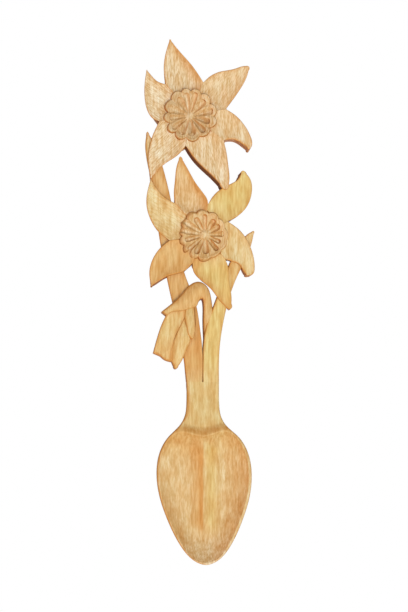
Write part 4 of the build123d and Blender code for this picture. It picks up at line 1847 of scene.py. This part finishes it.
@dataclass
class Studio:
    """Pale floor, soft lights, white surroundings and the camera at the photograph's angle, in metres.

    Attributes:
        azimuth: camera's angle to the right of the face, in degrees.
        elevation: camera's angle above the face, in degrees.
        distance: camera's distance from its target.
        target: point that the camera and the lights look at.
        focal_share: focal length as a share of the picture's height.
        floor_glow: how brightly the floor glows.
        floor_grid: numbers of rings and of points round the floor.
        surround: how bright the surroundings are as light, where they are 1 as a backdrop.
        lamps: the lights.
    """

    azimuth: float = -4.0
    elevation: float = -5.0
    distance: float = 0.7
    target: Place = (0.0091, -0.010, -0.07894)
    focal_share: float = 1400.0 / 612.0
    floor_level: float = -1.9
    floor_radius: float = 2.9
    floor_glow: float = 0.54
    floor_grid: tuple[int, int] = (12, 96)
    surround: float = 0.4
    lamps: tuple[Lamp, ...] = (
        Lamp("key", (0.69, -3.45, -1.4), 1.8, 72.2, "#fff8ee"),
        Lamp("fill", (-0.55, -1.0, 0.35), 0.9, 2.0, "#f8f9ff"),
        Lamp("rear", (0.4, 1.0, 0.3), 1.0, 5.0, "#fffcf6"),
    )

    def light(self, lamp: Lamp) -> None:
        """Hang a light that faces the spoon.

        Args:
            lamp: the light.
        """
        made = bpy.data.objects.new(lamp.name, bpy.data.lights.new(lamp.name, "AREA"))
        made.data.size = lamp.size
        made.data.energy = lamp.power
        made.data.color = linear_colour(lamp.code)[:3]
        made.location = lamp.place
        made.rotation_euler = (Vector(self.target) - Vector(lamp.place)).to_track_quat("-Z", "Y").to_euler()
        made.visible_camera = False
        bpy.context.scene.collection.objects.link(made)

    def floor(self) -> None:
        """Lay a pale round floor that glows: a flat grid of radius and angle, well below the spoon."""
        rings, around = self.floor_grid
        radius = np.linspace(0.0, self.floor_radius, rings)[:, None]
        angle = np.linspace(0.0, TURN, around, endpoint=False)
        level = np.full((rings, around), self.floor_level)
        places = np.dstack([radius * np.cos(angle), radius * np.sin(angle), level])
        index = np.arange(rings * around).reshape(rings, around)
        beside = np.roll(index, -1, axis=1)
        faces = np.stack([index[:-1], index[1:], beside[1:], beside[:-1]], axis=-1)
        mesh = bpy.data.meshes.new("studio_floor")
        mesh.from_pydata(places.reshape(-1, 3).tolist(), [], faces.reshape(-1, 4).tolist())
        # Matt paper, a plain white ground that throws soft light up at the spoon
        paper = bpy.data.materials.new("matt_paper")
        paper.use_nodes = True
        look = {"Base Color": linear_colour("#f1f0ee"), "Roughness": 0.9}
        look |= {"Emission Color": linear_colour("#ffffff"), "Emission Strength": self.floor_glow}
        for socket, value in look.items():
            paper.node_tree.nodes["Principled BSDF"].inputs[socket].default_value = value
        mesh.materials.append(paper)
        made = bpy.data.objects.new("studio_floor", mesh)
        bpy.context.scene.collection.objects.link(made)

    def world(self) -> None:
        """Surround the spoon with white, dimmer as light than as a backdrop."""
        made = bpy.data.worlds.new("white_surround")
        made.use_nodes = True
        tree = made.node_tree
        tree.nodes.clear()
        seen = add_node(tree, "ShaderNodeLightPath", {}).outputs["Is Camera Ray"]
        strength = add_node(tree, "ShaderNodeMapRange", {0: seen, 1: 0.0, 2: 1.0, 3: self.surround, 4: 1.0})
        inputs = {"Color": linear_colour("#ffffff"), "Strength": strength.outputs[0]}
        white = add_node(tree, "ShaderNodeBackground", inputs)
        add_node(tree, "ShaderNodeOutputWorld", {"Surface": white.outputs[0]})
        bpy.context.scene.world = made

    def camera(self) -> None:
        """Stand the camera left of and below the face, as the photograph was taken."""
        turn, rise = math.radians(self.azimuth), math.radians(self.elevation)
        back = Vector((math.sin(turn) * math.cos(rise), -math.cos(turn) * math.cos(rise), math.sin(rise)))
        lens = bpy.data.cameras.new("camera")
        lens.sensor_width = 36.0
        lens.lens = lens.sensor_width * self.focal_share
        made = bpy.data.objects.new("camera", lens)
        made.location = Vector(self.target) + back * self.distance
        made.rotation_euler = (-back).to_track_quat("-Z", "Y").to_euler()
        bpy.context.scene.collection.objects.link(made)
        bpy.context.scene.camera = made

    def build(self) -> None:
        """Set up the stage."""
        self.floor()
        self.world()
        for lamp in self.lamps:
            self.light(lamp)
        self.camera()
        bpy.context.scene.view_settings.view_transform = "Standard"


# The spoon


def upper_flower() -> Flower:
    """Describe the upper daffodil.

    Returns:
        The flower.
    """
    trumpet = Trumpet(
        "upper", spread=0.5,
        rays=(13.0, 47.0, 77.0, 100.0, 123.0, 160.0, 188.0, 217.0, 244.0, 276.0, 311.0, 342.0),
        hub=(0.0, -0.5), flute_end=11.2, flute_half=1.95, plain_share=0.6, scallop=2.2, cleft=1.2,
        calm=60.0, calm_share=0.8, bead=0.15, rim_drop=2.1, lean=-0.3, broad=0.2, tone=Tone.APRICOT,
        painted_shade=0.26, shady=297.0, shade=0.5, flank_shady=280.0,
    )
    crotches = [(-12.4, 15.7), (6.8, 16.9), (18.1, 3.4), (17.1, -12.8), (-2.1, -15.8), (-15.5, -3.4)]
    petals = [
        Petal(
            "upper_petal_top", rising=[(-13.3, 22.9), (-12.5, 31.2)],
            tip=(-10.2, 38.9), falling=[(-5.0, 32.4), (1.0, 25.6)],
            relief=Relief(cup=0.13, cup_limit=2.1, trough=0.64, stroke_angle=88.0),
            tones=((0.2, Tone.CREAM), (0.6, Tone.IVORY)), seams=(0.8, 0.7), edge_shade=(0.0, 0.48),
        ),
        Petal(
            "upper_petal_upper_right", rising=[(9.9, 20.0), (15.2, 22.7), (22.9, 24.4), (28.3, 25.9)],
            tip=(30.3, 25.5), falling=[(29.4, 21.6), (25.0, 12.9)],
            relief=Relief(trough=0.4, stroke_angle=64.0), tip_radius=1.3, raised=0.55,
        ),
        Petal(
            "upper_petal_right", rising=[(22.6, 0.6), (27.4, -4.4), (30.6, -10.0), (31.5, -14.9)],
            tip=(30.4, -17.2), falling=[(26.7, -14.6), (22.8, -12.4)],
            relief=Relief(cup=0.05, stroke_angle=98.0), tip_radius=1.7, seams=(0.45, 0.0),
            falling_draft=(-0.8, -0.3), sawn=(0.12, 0.12),
        ),
        Petal(
            "upper_petal_lower_right", rising=[(18.6, -19.2), (19.6, -26.9), (19.7, -34.8)],
            tip=(18.1, -38.5), falling=[(11.3, -31.0), (6.4, -26.5), (1.8, -21.6)],
            relief=Relief(cup=0.05, lift=-0.3, stroke_angle=100.0),
            tones=((0.2, Tone.PALE), (0.5, Tone.IVORY)), tip_radius=2.4, raised=1.0,
            # Its dark left wall is partly the sawn side's colour, partly painted shade.
            falling_draft=(0.1, 0.1), sawn=(0.12, 1.0),
        ),
        Petal(
            "upper_petal_lower_left", rising=[(-6.1, -20.6), (-12.7, -25.2), (-16.8, -29.3)],
            tip=(-19.7, -32.8), falling=[(-21.0, -25.4), (-20.6, -17.2), (-18.7, -10.3)],
            relief=Relief(cup=0.06, stroke_angle=48.0, stroke_spacing=1.7, stroke_depth=0.12),
            tones=((0.0, Tone.CREAM),), seams=(0.5, 0.6), rising_draft=(-1.4, -1.4),
        ),
        Petal(
            "upper_petal_left", rising=[(-18.8, -2.0), (-21.2, 1.2), (-22.9, 8.2), (-22.9, 16.6)],
            tip=(-22.0, 23.0), falling=[(-19.7, 20.3), (-16.2, 17.0)],
            relief=Relief(trough=0.6, stroke_angle=-35.0, stroke_spacing=1.7, stroke_depth=0.12),
            tones=((0.0, Tone.CREAM),), raised=0.7, rising_draft=(-2.0, -0.6),
        ),
    ]
    return Flower(trumpet, crotches, petals, back=0.35)


def lower_flower() -> Flower:
    """Describe the lower daffodil.

    Returns:
        The flower.
    """
    trumpet = Trumpet(
        "lower", spread=0.2,
        rays=(4.0, 34.0, 60.0, 92.0, 121.0, 149.0, 171.0, 196.0, 222.0, 243.0, 271.0, 308.0, 334.0),
        hub=(1.2, 0.2), flute_end=10.1, flute_half=1.5, plain_share=0.9, scallop=2.6, cleft=1.1,
        calm=-5.0, calm_share=0.2, bead=0.1, rim_drop=2.6, lean=1.2, broad=2.0, tone=Tone.TAWNY,
        painted_shade=0.1, shady=290.0, shade=0.28, flank_shady=210.0, flank_shade=0.5, calm_behind=0.6,
        oval=0.35, flute_power=2.4, flute_taper=0.4, boss=0.3,
    )
    crotches = [(-14.2, 16.1), (2.6, 15.8), (12.4, 7.2), (11.2, -12.0), (-5.2, -14.2), (-16.8, -2.8)]
    petals = [
        Petal(
            "lower_petal_top", rising=[(-14.7, 20.6), (-14.2, 27.3), (-13.1, 35.7)],
            tip=(-11.4, 40.0), falling=[(-7.3, 32.9), (-3.9, 26.9), (0.0, 21.6), (2.2, 18.0)],
            relief=Relief(cup=0.13, cup_limit=2.1, trough=0.62),
            tones=((0.2, Tone.PALE), (0.5, Tone.PEACH)), tip_radius=1.0, seams=(0.8, 0.6),
            edge_shade=(0.0, 0.45),
        ),
        Petal(
            "lower_petal_upper_right",
            rising=[(5.2, 20.1), (9.6, 24.0), (15.1, 26.9), (17.6, 28.7), (18.7, 30.4)],
            tip=(20.3, 33.4), falling=[(24.1, 28.8), (24.8, 22.1), (22.3, 14.9), (17.6, 10.0)],
            relief=Relief(cup=0.05), tones=((0.0, Tone.STRAW), (0.5, Tone.GOLDEN)), tip_radius=1.5,
            raised=0.2, rising_draft=(-0.5, 1.2), sawn=(0.8, 0.12),
        ),
        Petal(
            "lower_petal_right",
            rising=[(16.6, 4.5), (21.4, -0.6), (24.5, -6.9), (26.1, -14.4), (24.9, -19.7)],
            tip=(22.4, -20.2), falling=[(20.4, -18.0), (19.1, -15.6), (17.4, -14.0), (14.2, -12.9)],
            relief=Relief(cup=0.05), tones=((0.0, Tone.STRAW),), tip_radius=1.6, raised=-0.6,
            seams=(0.5, 0.6), falling_draft=(-0.8, 0.1), sawn=(0.12, 0.3),
        ),
        Petal(
            "lower_petal_bottom", rising=[(12.7, -15.6), (13.2, -22.6), (14.4, -30.7)],
            tip=(14.0, -37.5), falling=[(9.0, -33.5), (3.5, -26.5), (-2.3, -21.6), (-4.8, -18.2)],
            relief=Relief(cup=0.06, trough=0.55), tones=((0.0, Tone.PEACH), (0.45, Tone.GOLDEN)),
            tip_radius=1.8, raised=0.2, rising_draft=(-0.9, -0.5), falling_draft=(-1.2, -1.2),
            edge_shade=(0.0, 0.7),
        ),
        Petal(
            "lower_petal_lower_left", rising=[(-10.0, -18.5), (-17.5, -20.7), (-22.3, -23.4)],
            tip=(-25.9, -25.8), falling=[(-26.9, -19.9), (-24.9, -11.6), (-20.8, -6.0)],
            relief=Relief(cup=0.07, trough=0.6, stroke_angle=70.0), tones=((0.0, Tone.HONEY),),
            seams=(0.6, 0.8), rising_draft=(-0.3, 0.4), sawn=(0.5, 0.05),
        ),
        Petal(
            "lower_petal_left", rising=[(-21.9, 1.1), (-26.6, 8.2), (-28.5, 16.4), (-27.8, 22.8)],
            tip=(-26.3, 28.3), falling=[(-23.2, 23.4), (-19.1, 19.1)],
            relief=Relief(trough=0.6, stroke_angle=-32.0, stroke_spacing=1.7, stroke_depth=0.15),
            tones=((0.0, Tone.PEACH), (0.4, Tone.STRAW)), raised=0.7, rising_draft=(-1.2, -0.6),
        ),
    ]
    return Flower(trumpet, crotches, petals, back=0.5, hub_rise=(2.6, 0.7))


def leaves_and_bowl() -> Stem:
    """Describe the leaves, the neck and the bowl.

    Returns:
        The stem.
    """
    left_tones = (
        (0.0, Tone.WHEAT),
        (0.06, Tone.AMBER),
        (0.5, Tone.HONEY),
        (0.85, Tone.HONEY),
        # Straw and cream at the tip: painted light that lifts the shade under the upper flower's lower-left
        # petal.
        (0.94, Tone.STRAW),
        (1.0, Tone.CREAM),
    )
    right_tones = (
        (0.0, Tone.CORN),
        (0.15, Tone.GOLDEN),
        (0.5, Tone.GOLDEN),
        (0.8, Tone.WHEAT),
        (1.0, Tone.STRAW),
    )
    bowl_tones = (
        (0.2, Tone.CORN),
        (0.3, Tone.WHEAT),
        (0.45, Tone.BISCUIT),
        (0.8, Tone.BISCUIT),
        # Ivory at the tip: painted light on the hollow's upward-facing wall there.
        (1.0, Tone.IVORY),
    )
    bowl_top = [(17.3, 5.8), (22.0, 13.9), (23.6, 24.4)]
    bowl_foot = [(22.3, 35.4), (18.3, 47.5), (12.4, 59.4), (6.2, 66.4)]
    left_slit = [(8.35, -99.5), (6.9, -87.3), (5.1, -77.5), (0.3, -64.7)]
    left = Leaf(
        "left_leaf", side=-1,
        outer=[(-1.0, -104.9), (-7.2, -74.8), (-13.2, -44.6), (-18.8, -9.1), (-20.5, 3.7)],
        inner=[*left_slit, (-5.9, -33.9), (-11.8, -8.0), (-16.3, 4.0)], tip=(-19.6, 9.5),
        relief=Relief(cup=0.03, cup_limit=0.4, tilt=0.35, lift=1.2, edge=0.75), tones=left_tones,
        front_shade=0.05,
    )
    right = Leaf(
        "right_leaf", side=1,
        outer=[(17.2, -99.3), (19.1, -86.5), (25.9, -64.0), (33.3, -47.2)],
        inner=[(8.9, -99.5), (10.4, -88.8), (13.8, -79.5), (22.5, -56.4), (27.4, -46.8), (32.5, -41.4)],
        tip=(34.7, -40.5), relief=Relief(cup=0.03, cup_limit=0.4, edge=0.75), tones=right_tones,
    )
    return Stem(
        [left, right],
        neck_shift=0.4, neck_width=16.2, waist=[(0.0, 0.0), (0.5, 0.02), (0.78, 0.22), (1.0, 0.86)],
        stations=bowl_top + bowl_foot, bowl_offset=0.15, bowl_lean=1.3, bowl_tones=bowl_tones,
        rim_widths=(1.0, 1.5), hump_drops=(3.6, 3.1), hump_half=10.6, cleft_drop=5.7, hollow_drop=35.0,
        floor=5.6, climb=1.4, climb_run=5.0, ridge=1.9, ridge_run=(6.0, 14.0, 46.0, 58.0),
    )


def drooping_bud() -> Bud:
    """Describe the bud and its stalk.

    Returns:
        The bud.
    """
    fold = [(-0.7, -85.0), (-3.9, -91.3), (-6.4, -98.0), (-6.9, -106.8)]
    bend_out = [(12.8, -93.0), (13.7, -81.9), (12.8, -74.4), (10.6, -68.8), (6.6, -66.6)]
    spathe_out = [(2.5, -68.0), (-1.9, -73.0), (-6.7, -77.5), (-12.1, -81.8)]
    bend_in = [(9.3, -96.0), (8.9, -84.0), (8.8, -77.2), (8.1, -75.2), (6.9, -76.1)]
    spathe_in = [(5.5, -78.9), (2.2, -80.3), (-2.7, -81.5), (-7.7, -82.4), (-9.6, -83.9)]
    right_edge = [(-0.7, -85.0), (0.4, -88.7), (2.5, -94.6), (0.3, -101.3), (-1.9, -106.3)]
    return Bud(
        stalk_outer=bend_out + spathe_out, stalk_inner=bend_in + spathe_in,
        left_side=[(-7.0, -78.5), (-11.4, -86.8), (-14.1, -94.6), (-16.2, -102.4)],
        left_hem=[(-16.2, -102.4), (-13.9, -103.0), (-10.8, -105.5), (-6.9, -106.8)],
        left_fold=[(-0.6, -77.0), *fold], middle_left=[*fold, (-5.0, -110.6)],
        middle_right=[*right_edge, (-5.0, -110.6)],
        tongue_left=[(0.0, -79.0), (-0.6, -85.0), (0.2, -88.7), (2.0, -94.6), (3.4, -95.6)],
        tongue_right=[(4.3, -77.6), (4.4, -83.5), (4.3, -92.5), (3.4, -95.6)],
    )


def main() -> None:
    """Build the spoon and its stage."""
    logging.basicConfig(level=logging.INFO, format="%(name)s: %(message)s")
    limewood = Limewood().material()
    for assembly in (upper_flower(), lower_flower(), leaves_and_bowl(), drooping_bud()):
        assembly.build(limewood)
    Studio().build()


if __name__ == "__main__":
    main()
